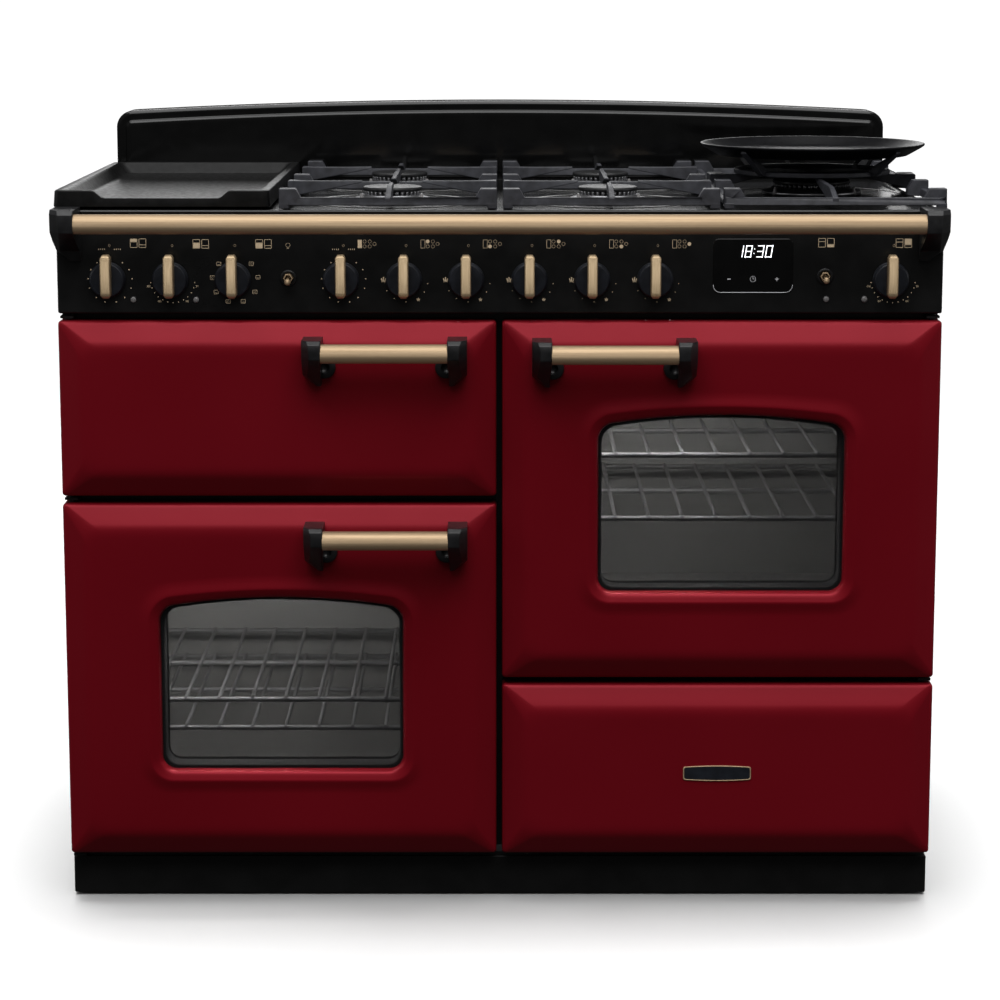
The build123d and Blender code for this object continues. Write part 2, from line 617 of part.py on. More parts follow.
def finger_y(y_frame, y_tip, x):
    """A pan finger along Y: full height at its tip, arched below."""
    s = 1.0 if y_tip > y_frame else -1.0
    points = [
        (y_frame, BAR_Z[0]), (y_frame, FINGER_Z), (y_tip, FINGER_Z), (y_tip, FINGER_Z - 5.0),
        (y_tip - s * 40.0, FINGER_Z - 12.0), (y_frame + s * 12.0, BAR_Z[0]),
    ]
    return swept_x(points, x - BAR_W / 2, x + BAR_W / 2)


def pan_support(x_limits, burners, reach, lug_rows, mid_bar):
    """One cast support: frame, feet, side lugs and fingers that stop short of each burner."""
    x0, x1 = x_limits
    y0, y1 = SUPPORT_Y
    w = BAR_W
    frame = block(x0, x1, y0, y0 + w, *BAR_Z) + block(x0, x1, y1 - w, y1, *BAR_Z)
    frame += block(x0, x0 + w, y0, y1, *BAR_Z) + block(x1 - w, x1, y0, y1, *BAR_Z)
    for x in (x0, x1 - SUPPORT_FOOT):
        for y in (y0, y1 - SUPPORT_FOOT):
            frame += block(x, x + SUPPORT_FOOT, y, y + SUPPORT_FOOT, HOB_Z + 0.4, BAR_Z[0] + 1.0)
    for y in lug_rows:
        for x in (x0, x1 - w - 2.0):
            frame += block(x, x + w + 2.0, y - 10.0, y + 10.0, BAR_Z[0], FINGER_Z)
    centre_x = burners[0][0]
    for x, y in burners:
        frame += finger_x(x0 + 1.0, x - reach, y) + finger_x(x1 - 1.0, x + reach, y)
    front, rear = burners[0][1], burners[-1][1]
    frame += finger_y(y0 + 1.0, front - reach, centre_x)
    frame += finger_y(y1 - 1.0, rear + reach, centre_x)
    if mid_bar:
        middle = (front + rear) / 2
        frame += block(x0, x1, middle - w / 2, middle + w / 2, *BAR_Z)
        frame += finger_y(middle, front + reach, centre_x) + finger_y(middle, rear - reach, centre_x)
    return frame


def make_hob_tops():
    """What lifts off the hob: pan supports, griddle, wok ring and dish."""
    lugs = (-241.0, 2.0, 261.0)
    left, centre = SMALL_BURNERS[:2], SMALL_BURNERS[2:]
    save("pan_support_left", pan_support(LEFT_SUPPORT_X, left, SMALL_REACH, lugs, True))
    save("pan_support_centre", pan_support(CENTRE_SUPPORT_X, centre, SMALL_REACH, lugs, True))
    wok_lugs = (-238.0, -95.0, 34.0, 262.0)
    save("pan_support_right", pan_support(RIGHT_SUPPORT_X, [WOK_BURNER], 60.0, wok_lugs, False))

    x0, x1 = GRIDDLE_X
    y0, y1 = SUPPORT_Y
    low, top, floor = HOB_Z + 2.0, HOB_Z + 23.0, HOB_Z + 8.0
    body = block(x0, x1, y0, y1, low, top)
    body = fillet(body.edges().filter_by(Axis.Z), 6.0)
    wall = Rectangle(x1 - x0 - 26.0, y1 - y0 - 26.0)
    deep = Rectangle(x1 - x0 - 46.0, y1 - y0 - 46.0)
    middle = ((x0 + x1) / 2, (y0 + y1) / 2)
    well = loft([Pos(*middle, top + 0.01) * wall, Pos(*middle, floor) * deep], ruled=True)
    body -= well
    spout = [(-499.0, top + 1.0), (-499.0, top), (-486.0, top - 10.0), (-342.0, top - 10.0),
             (-329.0, top), (-329.0, top + 1.0)]
    body -= swept_y(spout, y0 - 1.0, y0 + 24.0)
    body -= block(-474.5, -353.5, y0 - 1.0, y0 + 6.0, low - 1.0, low + 4.0)
    save("griddle", body)

    x, y = WOK_BURNER
    base_r, base_z = DISH_BASE
    rim_r, rim_z = DISH_RIM
    slope = (rim_z - base_z) / (rim_r - base_r)
    ring = rod_z(102.0, x, y, FINGER_Z + 0.4, FINGER_Z + 7.0) - rod_z(94.0, x, y, FINGER_Z, FINGER_Z + 8.0)
    under = base_z - 0.5
    reach = 141.0
    arm = [(94.0, FINGER_Z + 0.4), (108.0, FINGER_Z + 0.4), (reach, under + (reach - base_r) * slope - 2.5),
           (reach - 3.0, under + (reach - 3.0 - base_r) * slope), (base_r - 0.5, under), (base_r - 6.0, under),
           (94.0, FINGER_Z + 9.0)]
    for k in range(4):
        ring += Pos(x, y, 0) * Rot(0, 0, 45.0 + 90.0 * k) * swept_y(arm, -5.0, 5.0)
    save("wok_ring", ring)

    wall = 3.0
    section = polygon([(0, base_z), (base_r, base_z), (rim_r, rim_z), (rim_r - 4.0, rim_z),
                       (base_r - 1.0, base_z + wall), (0, base_z + wall)])
    save("round_dish", Pos(x, y, 0) * revolve(Plane.XZ * section, Axis.Z))


os.makedirs("parts", exist_ok=True)
make_base()
make_feet()
make_shell()
make_hinges()
make_cavities()
make_runners()
make_rear_connections()
make_control_panel()
make_switches()
make_knobs()
make_handrail()
make_hob()
make_backguard()
make_hob_tops()
make_doors()
make_drawer()
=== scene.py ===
"""Looks of a freestanding range cooker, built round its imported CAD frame.

+X is the user's right, -Y is the front, +Z is up, and the floor is Z = 0. Shapes are worked out in millimetres,
and piece() turns them into metres. Lights, camera and floor are in metres.
"""
import bmesh
import bpy
from math import atan2, cos, pi, radians, sin, sqrt
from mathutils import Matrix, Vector


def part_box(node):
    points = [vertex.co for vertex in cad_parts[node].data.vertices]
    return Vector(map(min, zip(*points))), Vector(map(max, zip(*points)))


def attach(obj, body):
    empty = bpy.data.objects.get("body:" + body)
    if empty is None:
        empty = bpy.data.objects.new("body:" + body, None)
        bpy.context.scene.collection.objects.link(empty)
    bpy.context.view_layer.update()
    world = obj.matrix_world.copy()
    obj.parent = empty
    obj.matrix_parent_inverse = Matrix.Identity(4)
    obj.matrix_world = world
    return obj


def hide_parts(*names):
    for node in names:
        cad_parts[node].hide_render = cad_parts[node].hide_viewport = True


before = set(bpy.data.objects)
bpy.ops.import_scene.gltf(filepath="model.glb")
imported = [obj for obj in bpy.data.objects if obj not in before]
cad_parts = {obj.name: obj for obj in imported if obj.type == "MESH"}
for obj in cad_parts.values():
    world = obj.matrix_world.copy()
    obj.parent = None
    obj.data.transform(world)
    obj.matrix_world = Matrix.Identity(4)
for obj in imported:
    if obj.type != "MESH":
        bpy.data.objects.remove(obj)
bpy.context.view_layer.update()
MM = 0.001


def box(node):
    """Lowest and highest corner of a CAD node, in millimetres."""
    low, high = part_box(node)
    return low / MM, high / MM


FIELD_Y, DOOR_BACK_Y = (corner.y for corner in box("drawer_front"))    # raised fields, and the fronts' backs
PANEL_LOW, PANEL_HIGH = box("control_panel")
HOB_Z = box("hob_tray")[1].z


# ---------------------------------------------------------------- materials

def shader(name, color, rough=0.4, metallic=0.0, **sockets):
    """A new node material with its principled shader's plain values set."""
    mat = bpy.data.materials.new(name)
    mat.use_nodes = True
    surface = mat.node_tree.nodes["Principled BSDF"]
    surface.inputs["Base Color"].default_value = (*color, 1.0)
    surface.inputs["Roughness"].default_value = rough
    surface.inputs["Metallic"].default_value = metallic
    for key, value in sockets.items():
        surface.inputs[key.replace("_", " ")].default_value = value
    return mat


def noise(mat, scale, detail=3.0, stretch=(1.0, 1.0, 1.0), cells=None):
    """A noise texture in the piece's own coordinates, or one output of a cell texture; gives its socket."""
    nodes, links = mat.node_tree.nodes, mat.node_tree.links
    coord, mapping = nodes.new("ShaderNodeTexCoord"), nodes.new("ShaderNodeMapping")
    mapping.inputs["Scale"].default_value = stretch
    links.new(coord.outputs["Object"], mapping.inputs["Vector"])
    tex = nodes.new("ShaderNodeTexVoronoi" if cells else "ShaderNodeTexNoise")
    tex.inputs["Scale"].default_value = scale
    if not cells:
        tex.inputs["Detail"].default_value = detail
    links.new(mapping.outputs["Vector"], tex.inputs["Vector"])
    return tex.outputs[cells or "Fac"]


def ramp(owner, source, stops):
    """A colour ramp on a socket: stops are (position, colour or grey)."""
    node = owner.node_tree.nodes.new("ShaderNodeValToRGB")
    while len(node.color_ramp.elements) < len(stops):
        node.color_ramp.elements.new(0.5)
    for element, (position, value) in zip(node.color_ramp.elements, stops):
        element.position = position
        element.color = (*(value if isinstance(value, tuple) else (value,) * 3), 1.0)
    owner.node_tree.links.new(source, node.inputs["Fac"])
    return node.outputs["Color"]


def vary(mat, socket, texture, *stops):
    """Drives a socket of the principled shader by a texture, through a ramp."""
    surface = mat.node_tree.nodes["Principled BSDF"]
    mat.node_tree.links.new(ramp(mat, texture, stops), surface.inputs[socket])


def scaled(color, factor):
    return tuple(min(1.0, c * factor) for c in color)


def bump(mat, source, strength, distance=0.001):
    node = mat.node_tree.nodes.new("ShaderNodeBump")
    node.inputs["Strength"].default_value = strength
    node.inputs["Distance"].default_value = distance
    mat.node_tree.links.new(source, node.inputs["Height"])
    surface = mat.node_tree.nodes["Principled BSDF"]
    mat.node_tree.links.new(node.outputs["Normal"], surface.inputs["Normal"])


def red_enamel():
    """Deep cranberry enamel: slight tone drift, faint orange peel and a soft gloss."""
    mat = shader("red_enamel", (0.19, 0.004, 0.010), 0.36, Specular_IOR_Level=0.95,
                 Specular_Tint=(1.0, 0.13, 0.17, 1.0))
    vary(mat, "Base Color", noise(mat, 3.0, 2.0),
         (0.3, (0.175, 0.0035, 0.0090)), (0.7, (0.205, 0.0050, 0.0115)))
    vary(mat, "Roughness", noise(mat, 9.0), (0.3, 0.33), (0.7, 0.39))
    bump(mat, noise(mat, 420.0, 2.0), 0.03, 0.0004)
    return mat


def black_enamel(name, rough, level=0.5, tone=0.008):
    """Black enamel with a faint ripple and a little uneven gloss."""
    mat = shader(name, (tone, tone, tone), rough, Specular_IOR_Level=level)
    vary(mat, "Roughness", noise(mat, 6.0, 4.0), (0.3, rough * 0.85), (0.7, rough * 1.2))
    vary(mat, "Base Color", noise(mat, 40.0), (0.35, tone * 0.8), (0.65, tone * 1.3))
    bump(mat, noise(mat, 300.0, 2.0), 0.03, 0.0003)
    return mat


def brushed(name, light, dark, axis, rough=0.3, metallic=1.0):
    """Satin brushed metal: fine lines along one axis, and slow tone drift."""
    mat = shader(name, light, rough, metallic)
    lines = noise(mat, 1.0, 4.0, tuple(6.0 if i == axis else 900.0 for i in range(3)))
    vary(mat, "Base Color", lines, (0.3, dark), (0.7, light))
    vary(mat, "Roughness", lines, (0.2, rough * 1.25), (0.8, rough * 0.8))
    bump(mat, lines, 0.12, 0.0002)
    return mat


def cast_iron(name, tone, rough=0.55, grain=900.0, strength=0.35, level=0.4):
    """Coated cast iron: sand-cast grain, blotchy tone and blunted shine."""
    mat = shader(name, tone, rough, Specular_IOR_Level=level)
    vary(mat, "Base Color", noise(mat, 90.0, 5.0), (0.3, scaled(tone, 0.65)), (0.7, scaled(tone, 1.45)))
    vary(mat, "Roughness", noise(mat, 160.0), (0.3, rough * 0.8), (0.7, rough * 1.15))
    bump(mat, noise(mat, grain), strength, 0.0004)
    return mat


def speckled_enamel():
    """Grey oven enamel with pale specks."""
    mat = shader("speckled_enamel", (0.2, 0.2, 0.2), 0.35)
    vary(mat, "Base Color", noise(mat, 700.0, cells="Distance"),
         (0.10, (0.26, 0.26, 0.25)), (0.22, (0.12, 0.12, 0.118)))
    bump(mat, noise(mat, 250.0), 0.05, 0.0004)
    return mat


def zinc():
    """Galvanised sheet with its frosty spangle."""
    mat = shader("galvanised", (0.4, 0.41, 0.42), 0.4, 0.9)
    spangle = noise(mat, 70.0, cells="Color")
    vary(mat, "Base Color", spangle, (0.1, (0.40, 0.41, 0.42)), (0.9, (0.48, 0.49, 0.50)))
    vary(mat, "Roughness", spangle, (0.1, 0.38), (0.9, 0.48))
    bump(mat, noise(mat, 140.0), 0.06, 0.0004)
    return mat


def tinted_glass(name, alpha):
    """Grey tinted window glass, seen through with a clean gloss."""
    mat = shader(name, (0.012, 0.012, 0.013), 0.04, Alpha=alpha, Specular_IOR_Level=0.5)
    vary(mat, "Roughness", noise(mat, 5.0), (0.3, 0.03), (0.7, 0.06))
    return mat


def glowing(name, color, strength):
    """A lit mark: a pale face that gives a little light."""
    mat = shader(name, color, 0.5, Emission_Strength=strength, Emission_Color=(*color, 1.0))
    vary(mat, "Base Color", noise(mat, 300.0), (0.3, scaled(color, 0.85)), (0.7, color))
    return mat


def plain(name, tone, rough, scale=260.0, strength=0.15, metallic=0.0):
    """A moulded or printed surface with fine grain."""
    mat = shader(name, tone, rough, metallic)
    vary(mat, "Base Color", noise(mat, scale), (0.3, scaled(tone, 0.8)), (0.7, tone))
    vary(mat, "Roughness", noise(mat, scale * 0.4), (0.3, rough * 0.9), (0.7, min(1.0, rough * 1.1)))
    bump(mat, noise(mat, scale * 2.0), strength, 0.0003)
    return mat


RED = red_enamel()
PANEL_BLACK = black_enamel("panel_black", 0.32, 0.35, 0.0085)
GLOSS_BLACK = black_enamel("gloss_black", 0.09, 0.55, 0.004)
HOB_BLACK = black_enamel("hob_black", 0.22, 0.5, 0.006)
SIDE_BLACK = black_enamel("side_black", 0.38, 0.4, 0.012)
PLINTH_BLACK = black_enamel("plinth_black", 0.45, 0.3, 0.006)
# One brass in two copies: the darker tone of the rods, rail, levers, nuts and badge rim is painted shade that
# holds down their highlights, and the lighter tone of the knob grips is painted light on their front faces
BRASS_X = brushed("brass_along_x_painted_shade", (0.47, 0.345, 0.215), (0.39, 0.275, 0.165), 0, 0.5, 0.7)
BRASS_Z = brushed("brass_along_z_painted_light", (0.60, 0.455, 0.28), (0.50, 0.365, 0.215), 2, 0.45, 0.7)
DIE_CAST = cast_iron("black_die_cast", (0.012, 0.012, 0.013), 0.36, 1400.0, 0.12)
SLATE = cast_iron("slate_skirt", (0.014, 0.016, 0.022), 0.42, 1600.0, 0.1)
IRON = cast_iron("cast_iron", (0.035, 0.036, 0.043), 0.5)
GRIDDLE_IRON = cast_iron("griddle_iron", (0.006, 0.006, 0.006), 0.4, 1000.0, 0.15, 0.16)
DISH_IRON = cast_iron("dish_iron", (0.005, 0.005, 0.006), 0.34, 1100.0, 0.06, 0.08)
CAP_BLACK = cast_iron("cap_enamel", (0.012, 0.012, 0.013), 0.4, 900.0, 0.15)
ALUMINIUM = brushed("burner_aluminium", (0.34, 0.34, 0.35), (0.22, 0.22, 0.23), 2, 0.36)
ENAMEL_GREY = speckled_enamel()
ZINC = zinc()
OUTER_GLASS = tinted_glass("outer_glass", 0.42)
INNER_GLASS = tinted_glass("inner_glass", 0.12)
CERAMIC = black_enamel("glass_ceramic", 0.08, 0.5, 0.003)
SCREEN = black_enamel("clock_screen", 0.07, 0.5, 0.004)
CHROME = brushed("chromed_wire", (0.42, 0.42, 0.42), (0.34, 0.34, 0.35), 0, 0.42, 0.4)
SHEATH = plain("element_sheath", (0.09, 0.08, 0.075), 0.6, metallic=0.5)
SEAL = plain("door_seal", (0.025, 0.025, 0.026), 0.85, 500.0, 0.5)
RUBBER = plain("roller_tyre", (0.05, 0.05, 0.052), 0.7)
LENS = plain("lamp_lens", (0.26, 0.25, 0.25), 0.3, 500.0, 0.1)
PRINT = plain("printed_marks", (0.66, 0.51, 0.33), 0.6, 600.0, 0.02)
FITTING_BRASS = plain("fitting_brass", (0.60, 0.45, 0.23), 0.34, 400.0, 0.05, 0.9)
SILVER = plain("display_line", (0.5, 0.5, 0.52), 0.3, 400.0, 0.02, 0.8)
GLOW = glowing("lit_digits", (0.95, 0.97, 1.0), 1.6)


# Brass and printed marks get a little more light from the front than the enamel does
TRIM = bpy.data.collections.new("trim")


# ---------------------------------------------------------------- mesh tools

def piece(name, verts, faces, material, body, slot, replaced=(), bevel=0.0, smooth=True, wall=0.0):
    """A mesh piece with outward normals, riding on a body and taking the given material; its slot is not used.

    An open skin gets a wall, inward from its outer face.
    """
    mesh = bpy.data.meshes.new(name)
    mesh.from_pydata([tuple(c * MM for c in v) for v in verts], [], faces)
    work = bmesh.new()
    work.from_mesh(mesh)
    bmesh.ops.remove_doubles(work, verts=work.verts, dist=1e-7)
    bmesh.ops.recalc_face_normals(work, faces=work.faces)
    work.to_mesh(mesh)
    work.free()
    mesh.polygons.foreach_set("use_smooth", [smooth] * len(mesh.polygons))
    mesh.materials.append(material)
    obj = bpy.data.objects.new(name, mesh)
    bpy.context.scene.collection.objects.link(obj)
    if bevel:
        edge = obj.modifiers.new("edges", "BEVEL")
        edge.width = bevel * MM
        edge.segments = 3
        edge.limit_method = "ANGLE"
        edge.angle_limit = radians(28)
        edge.use_clamp_overlap = True
    if smooth:
        weights = obj.modifiers.new("normals", "WEIGHTED_NORMAL")
        weights.keep_sharp = True
        weights.weight = 90
    if wall:
        sheet = obj.modifiers.new("sheet", "SOLIDIFY")
        sheet.thickness = wall * MM
        sheet.offset = -1.0
    if material in (BRASS_X, BRASS_Z, PRINT, SILVER):
        TRIM.objects.link(obj)
    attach(obj, body)
    if replaced:
        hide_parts(*replaced)
    return obj


class Shape:
    """Collects vertices and faces of one piece."""

    def __init__(self):
        self.verts, self.faces = [], []

    def loft(self, rings, cap_first=True, cap_last=True):
        """A skin through rings of 3-D points, with flat end caps if asked."""
        count, starts = len(rings[0]), []
        for ring in rings:
            starts.append(len(self.verts))
            self.verts.extend(ring)
        for a, b in zip(starts, starts[1:]):
            for i in range(count):
                j = (i + 1) % count
                self.faces.append((a + i, a + j, b + j, b + i))
        for wanted, start in ((cap_first, starts[0]), (cap_last, starts[-1])):
            if wanted:
                self.faces.append(tuple(range(start, start + count)))
        return self

    def revolve(self, profile, centre, axis="z", steps=64):
        """Turns a (radius, height) profile about an axis; a zero radius closes an end."""
        rings = []
        for radius, height in profile:
            ring = []
            for k in range(steps):
                a = 2 * pi * k / steps
                u, v = radius * cos(a), radius * sin(a)
                place = {"z": (u, v, height), "y": (u, height, v), "x": (height, u, v)}[axis]
                ring.append(Vector(centre) + Vector(place))
            rings.append(ring)
        return self.loft(rings, profile[0][0] > 0, profile[-1][0] > 0)

    def prism(self, outline, low, high, axis="y"):
        """An outline extruded along an axis."""
        place = {"y": lambda u, v, w: (u, w, v), "z": lambda u, v, w: (u, v, w)}[axis]
        return self.loft([[place(u, v, w) for u, v in outline] for w in (low, high)])

    def make(self, name, *finish, **options):
        return piece(name, self.verts, self.faces, *finish, **options)


def outline(limits, radius, grow=0.0, rise=0.0, side=14, corner=8, square_foot=False):
    """A rounded rectangle as points, its top side arched by rise; every call with the same counts matches."""
    x0, x1, z0, z1 = limits
    x0, x1, z0, z1 = x0 - grow, x1 + grow, z0 - grow, z1 + grow
    radius = max(radius, 0.01)
    centres = [(x1 - radius, z0 + radius, -pi / 2), (x1 - radius, z1 - radius, 0.0),
               (x0 + radius, z1 - radius, pi / 2), (x0 + radius, z0 + radius, pi)]
    points = []
    for n, (cx, cz, start) in enumerate(centres):
        arc = []
        for k in range(corner + 1):
            u, v = cos(start + pi / 2 * k / corner), sin(start + pi / 2 * k / corner)
            out = radius / (max(abs(u), abs(v)) if square_foot and n in (0, 3) else 1.0)
            arc.append((cx + u * out, cz + v * out))
        points.extend(arc)
        nx, nz, nstart = centres[(n + 1) % 4]
        ahead = (nx + radius * cos(nstart), nz + radius * sin(nstart))
        last = arc[-1]
        for k in range(1, side):
            t = k / side
            points.append((last[0] + (ahead[0] - last[0]) * t, last[1] + (ahead[1] - last[1]) * t))
    if rise:
        middle, half, waist = (x0 + x1) / 2, (x1 - x0) / 2, (z0 + z1) / 2
        points = [(x, z + (rise * (1 - ((x - middle) / half) ** 2) if z > waist else 0.0)) for x, z in points]
    return points


def upright(points, y):
    return [(x, y, z) for x, z in points]


def flat(points, z):
    return [(x, y, z) for x, y in points]


def limits_xz(node):
    low, high = box(node)
    return low.x, high.x, low.z, high.z


def limits_xy(node):
    low, high = box(node)
    return low.x, high.x, low.y, high.y


def stepped(limits, radius, steps, **options):
    """Rings of an upright rounded plate: steps are (inset, place in y)."""
    return [upright(outline(limits, radius, -inset, **options), y) for inset, y in steps]


# ---------------------------------------------------------------- doors and drawer

# How the pressed front turns from its side to its raised field: (inset, depth behind the field)
FRONT_PROFILE = [(0.0, 45.0), (0.0, 19.0), (0.25, 17.0), (1.0, 15.6), (2.4, 14.4), (5.0, 13.0), (12.0, 9.4),
                 (19.0, 5.8), (23.5, 3.5), (27.0, 1.9), (31.0, 0.8), (36.0, 0.2), (42.0, 0.0)]
# How the field rolls up round a window and down to the glass: (outside the glass, depth behind the field)
LIP_PROFILE = [(30.0, 0.0), (25.0, -0.3), (20.0, -1.2), (16.0, -2.3), (13.2, -2.9), (11.6, -2.9), (10.4, -2.3),
               (7.0, -1.0), (4.0, 0.3), (2.0, 1.6), (0.8, 3.4), (0.2, 6.0), (-0.2, 9.2), (-0.8, 10.5)]


def pressed_front(name, body, window=None, rise=0.0):
    """A red pressed door or drawer front, with a rolled lip round its window if it has one."""
    node = name if name == "drawer_front" else f"{name}_panel"
    limits = limits_xz(node)
    rings = []
    for inset, depth in FRONT_PROFILE:
        corner_radius = 4 + min(1.0, inset / 29) * 14
        rings.append(upright(outline(limits, corner_radius, -inset), FIELD_Y + depth))
    if window:
        rings += [upright(outline(window, 18 + grow * 0.8, grow, rise), FIELD_Y + depth)
                  for grow, depth in LIP_PROFILE]
    shape = Shape().loft(rings, cap_first=False, cap_last=not window)
    shape.make(f"{node}_shell", RED, body, "red_enamel", replaced=[node], wall=1.6)


def window_of(door):
    """The clear opening of a window (glass less its hidden edge) and the rise of its arch."""
    x0, x1, z0, z1 = limits_xz(f"{door}_glass")
    hidden, rise = 12, 13
    return (x0 + hidden, x1 - hidden, z0 + hidden, z1 - hidden - rise + 2), rise


def window_parts(door):
    """Outer pane, inner pane and the gasket tunnel between them."""
    window, rise = window_of(door)
    front, rear, back = FIELD_Y + 9.5, FIELD_Y + 13, DOOR_BACK_Y

    def rings(radius, steps):
        return [upright(outline(window, radius, grow, rise), y) for grow, y in steps]

    Shape().loft(rings(26, [(9, front), (9, rear)])).make(
        f"{door}_outer_pane", OUTER_GLASS, door, "door_glass", replaced=[f"{door}_glass"], smooth=False)
    Shape().loft(rings(20, [(4, back - 6.5), (4, back - 2.5)])).make(
        f"{door}_inner_pane", INNER_GLASS, door, "door_glass", smooth=False)
    tunnel = [(7, rear + 0.3), (-3, rear + 0.4), (-4.5, rear + 1.2),
              (-4.5, back - 7.8), (-3, back - 7), (7, back - 7)]
    Shape().loft(rings(18, tunnel), False, False).make(
        f"{door}_window_gasket", SEAL, door, "seal_rubber", wall=0.8)


def arm_rings(x_outer, inward, sections, face_y):
    """Rings of a wedge-shaped arm: sections are (height, outer inset, inner width, front depth, chamfer)."""
    rings = []
    for z, inset, inner, front, cut in sections:
        xo, xi = x_outer + inward * inset, x_outer + inward * inner
        rings.append([(xo, face_y, z), (xo, front + cut, z), (xo + inward * cut * 0.75, front, z),
                      (xi - inward * 1.2, front, z), (xi, front + 1.2, z), (xi, face_y, z)])
    return rings


def door_handle(door):
    """Brass rod between two faceted black end brackets with lobed, screwed feet."""
    node = f"{door}_handle"
    low, high = box(node)
    rod_r = 12
    rod_y = low.y + rod_r
    rod_z = high.z - 16
    width = 24
    x0, x1 = low.x + width, high.x - width
    rod = Shape()
    r = rod_r - 0.4
    ends = [(r - 1, -0.8), (r, -0.3), (r, x1 - x0 + 0.3), (r - 1, x1 - x0 + 0.8)]
    rod.revolve(ends, (x0, rod_y, rod_z), "x", 48)
    rod.make(f"{door}_handle_rod", BRASS_X, door, "brass", replaced=[node])
    arms = Shape()
    for x_outer, inward in ((low.x, 1.0), (high.x, -1.0)):
        tip = FIELD_Y - 11
        sections = [
            (rod_z + 16, 0.0, width, low.y + 7, 9),
            (rod_z + 12, 0.0, width, low.y + 2, 11),
            (rod_z + 5, 0.0, width, low.y, 13),
            (rod_z - 6, 0.0, width, low.y + 1, 13),
            (rod_z - 18, 0.0, width - 1, low.y + 12, 11),
            (rod_z - 29, 0.0, width - 2, low.y + 26, 8),
            (rod_z - 44, 16, width - 2, tip, 3),
        ]
        arms.loft(arm_rings(x_outer, inward, sections, FIELD_Y + 0.3))
    arms.make(f"{door}_handle_brackets", DIE_CAST, door, "black_die_cast", bevel=0.9)
    feet = Shape()
    for x_outer, inward in ((low.x, 1.0), (high.x, -1.0)):
        centre = (x_outer + inward * (width + 2), FIELD_Y, rod_z - 22)
        feet.revolve([(13.5, 0.3), (13.3, -3.5), (12.0, -5.0), (6.5, -5.4),
                      (5.6, -4.6), (5.4, -2.0), (0.0, -2.0)], centre, "y", 36)
    feet.make(f"{door}_handle_feet", DIE_CAST, door, "black_die_cast")


def badge():
    """A small gold-rimmed plate with bowed edges and a dark, plain face."""
    limits = limits_xz("badge_plate")
    bow = 1.6
    x0, x1, z0, z1 = limits

    def bowed(grow, y):
        points = outline((x0, x1, z0 + bow, z1 - bow), 2.5, grow, 0.0, side=20, corner=4)
        middle, half, waist = (x0 + x1) / 2, (x1 - x0) / 2, (z0 + z1) / 2
        bent = []
        for x, z in points:
            lift = bow * (1 - ((x - middle) / half) ** 2)
            bent.append((x, z + (lift if z > waist else -lift)))
        return upright(bent, y)

    rim = Shape()
    y = FIELD_Y
    rim.loft([bowed(0.0, y + 0.5), bowed(0.0, y - 1.0), bowed(-0.4, y - 1.4),
              bowed(-1.0, y - 1.4), bowed(-1.3, y - 0.9)], False, True)
    rim.make("badge_rim", BRASS_X, "drawer", "brass", replaced=["badge_plate"])
    face = Shape()
    face.loft([bowed(-1.35, y - 0.6), bowed(-1.4, y - 1.05)])
    face.make("badge_face", SLATE, "drawer", "black_die_cast", smooth=False)


def doors():
    pressed_front("drawer_front", "drawer")
    pressed_front("grill_door", "grill_door")
    door_handle("grill_door")
    for door in ("left_oven_door", "right_oven_door"):
        window, rise = window_of(door)
        pressed_front(door, door, window, rise)
        window_parts(door)
        door_handle(door)
    badge()


# ---------------------------------------------------------------- control panel

def control_panel():
    """The panel's folded sheet with soft edges."""
    front, back = PANEL_LOW.y, PANEL_HIGH.y
    steps = [(0, back), (0, front + 2.5), (0.3, front + 1.2), (1.2, front + 0.3), (2.5, front)]
    Shape().loft(stepped(limits_xz("control_panel"), 2.5, steps)).make(
        "control_panel_sheet", PANEL_BLACK, "carcass", "black_enamel", replaced=["control_panel"])


def knob_axis(node):
    """Centre of a knob's skirt on the panel: its grip rises 32 mm above the axis."""
    low, high = box(node)
    return (low.x + high.x) / 2, high.z - 32


def knob(node):
    """A slate skirt with a stepped edge, and a bowed brass bar grip."""
    body = f"{node}_body"
    x, z = knob_axis(node)
    back = PANEL_LOW.y - 0.6
    skirt = Shape()
    profile = [(0.0, 0.0), (22.3, 0.0), (22.3, -2.2), (21.9, -2.9), (21.2, -3.2), (20.9, -7.0), (20.4, -8.4),
               (19.0, -9.2), (10.0, -9.6), (0.0, -9.7)]
    skirt.revolve(profile, (x, back, z), "y", 72)
    skirt.make(f"{node}_skirt", SLATE, body, "black_die_cast", replaced=[node])
    grip = Shape()
    low, high, half, root = -21, 32, 6.2, back - 9.0
    levels = 14
    rings = []
    for i in range(levels + 1):
        t = i / levels
        h = low + (high - low) * t
        end = min(t, 1 - t) * (high - low)
        round_off = 1.0 - min(1.0, end / (3.2))
        narrow = half - 2.6 * (1 - sqrt(max(0.0, 1 - round_off ** 2)))
        bow = 2.2 * (1 - (2 * t - 1.1) ** 2)
        front = back - 22.5 - bow + 3.5 * (1 - sqrt(max(0.0, 1 - round_off ** 2)))
        soft = min(2.4, narrow * 0.45)
        section = [(-narrow, root), (-narrow, front + soft)]
        for k in range(1, 5):
            a = pi / 2 * k / 5
            section.append((-narrow + soft * (1 - cos(a)), front + soft * (1 - sin(a))))
        section += [(-u, v) for u, v in reversed(section)]
        rings.append([(x + u, v, z + h) for u, v in section])
    grip.loft(rings)
    grip.make(f"{node}_grip", BRASS_Z, body, "brass")


def ball(radius, steps=12):
    """A half circle as a (radius, height) profile."""
    return [(radius * sin(pi * k / steps), -radius * cos(pi * k / steps)) for k in range(steps + 1)]


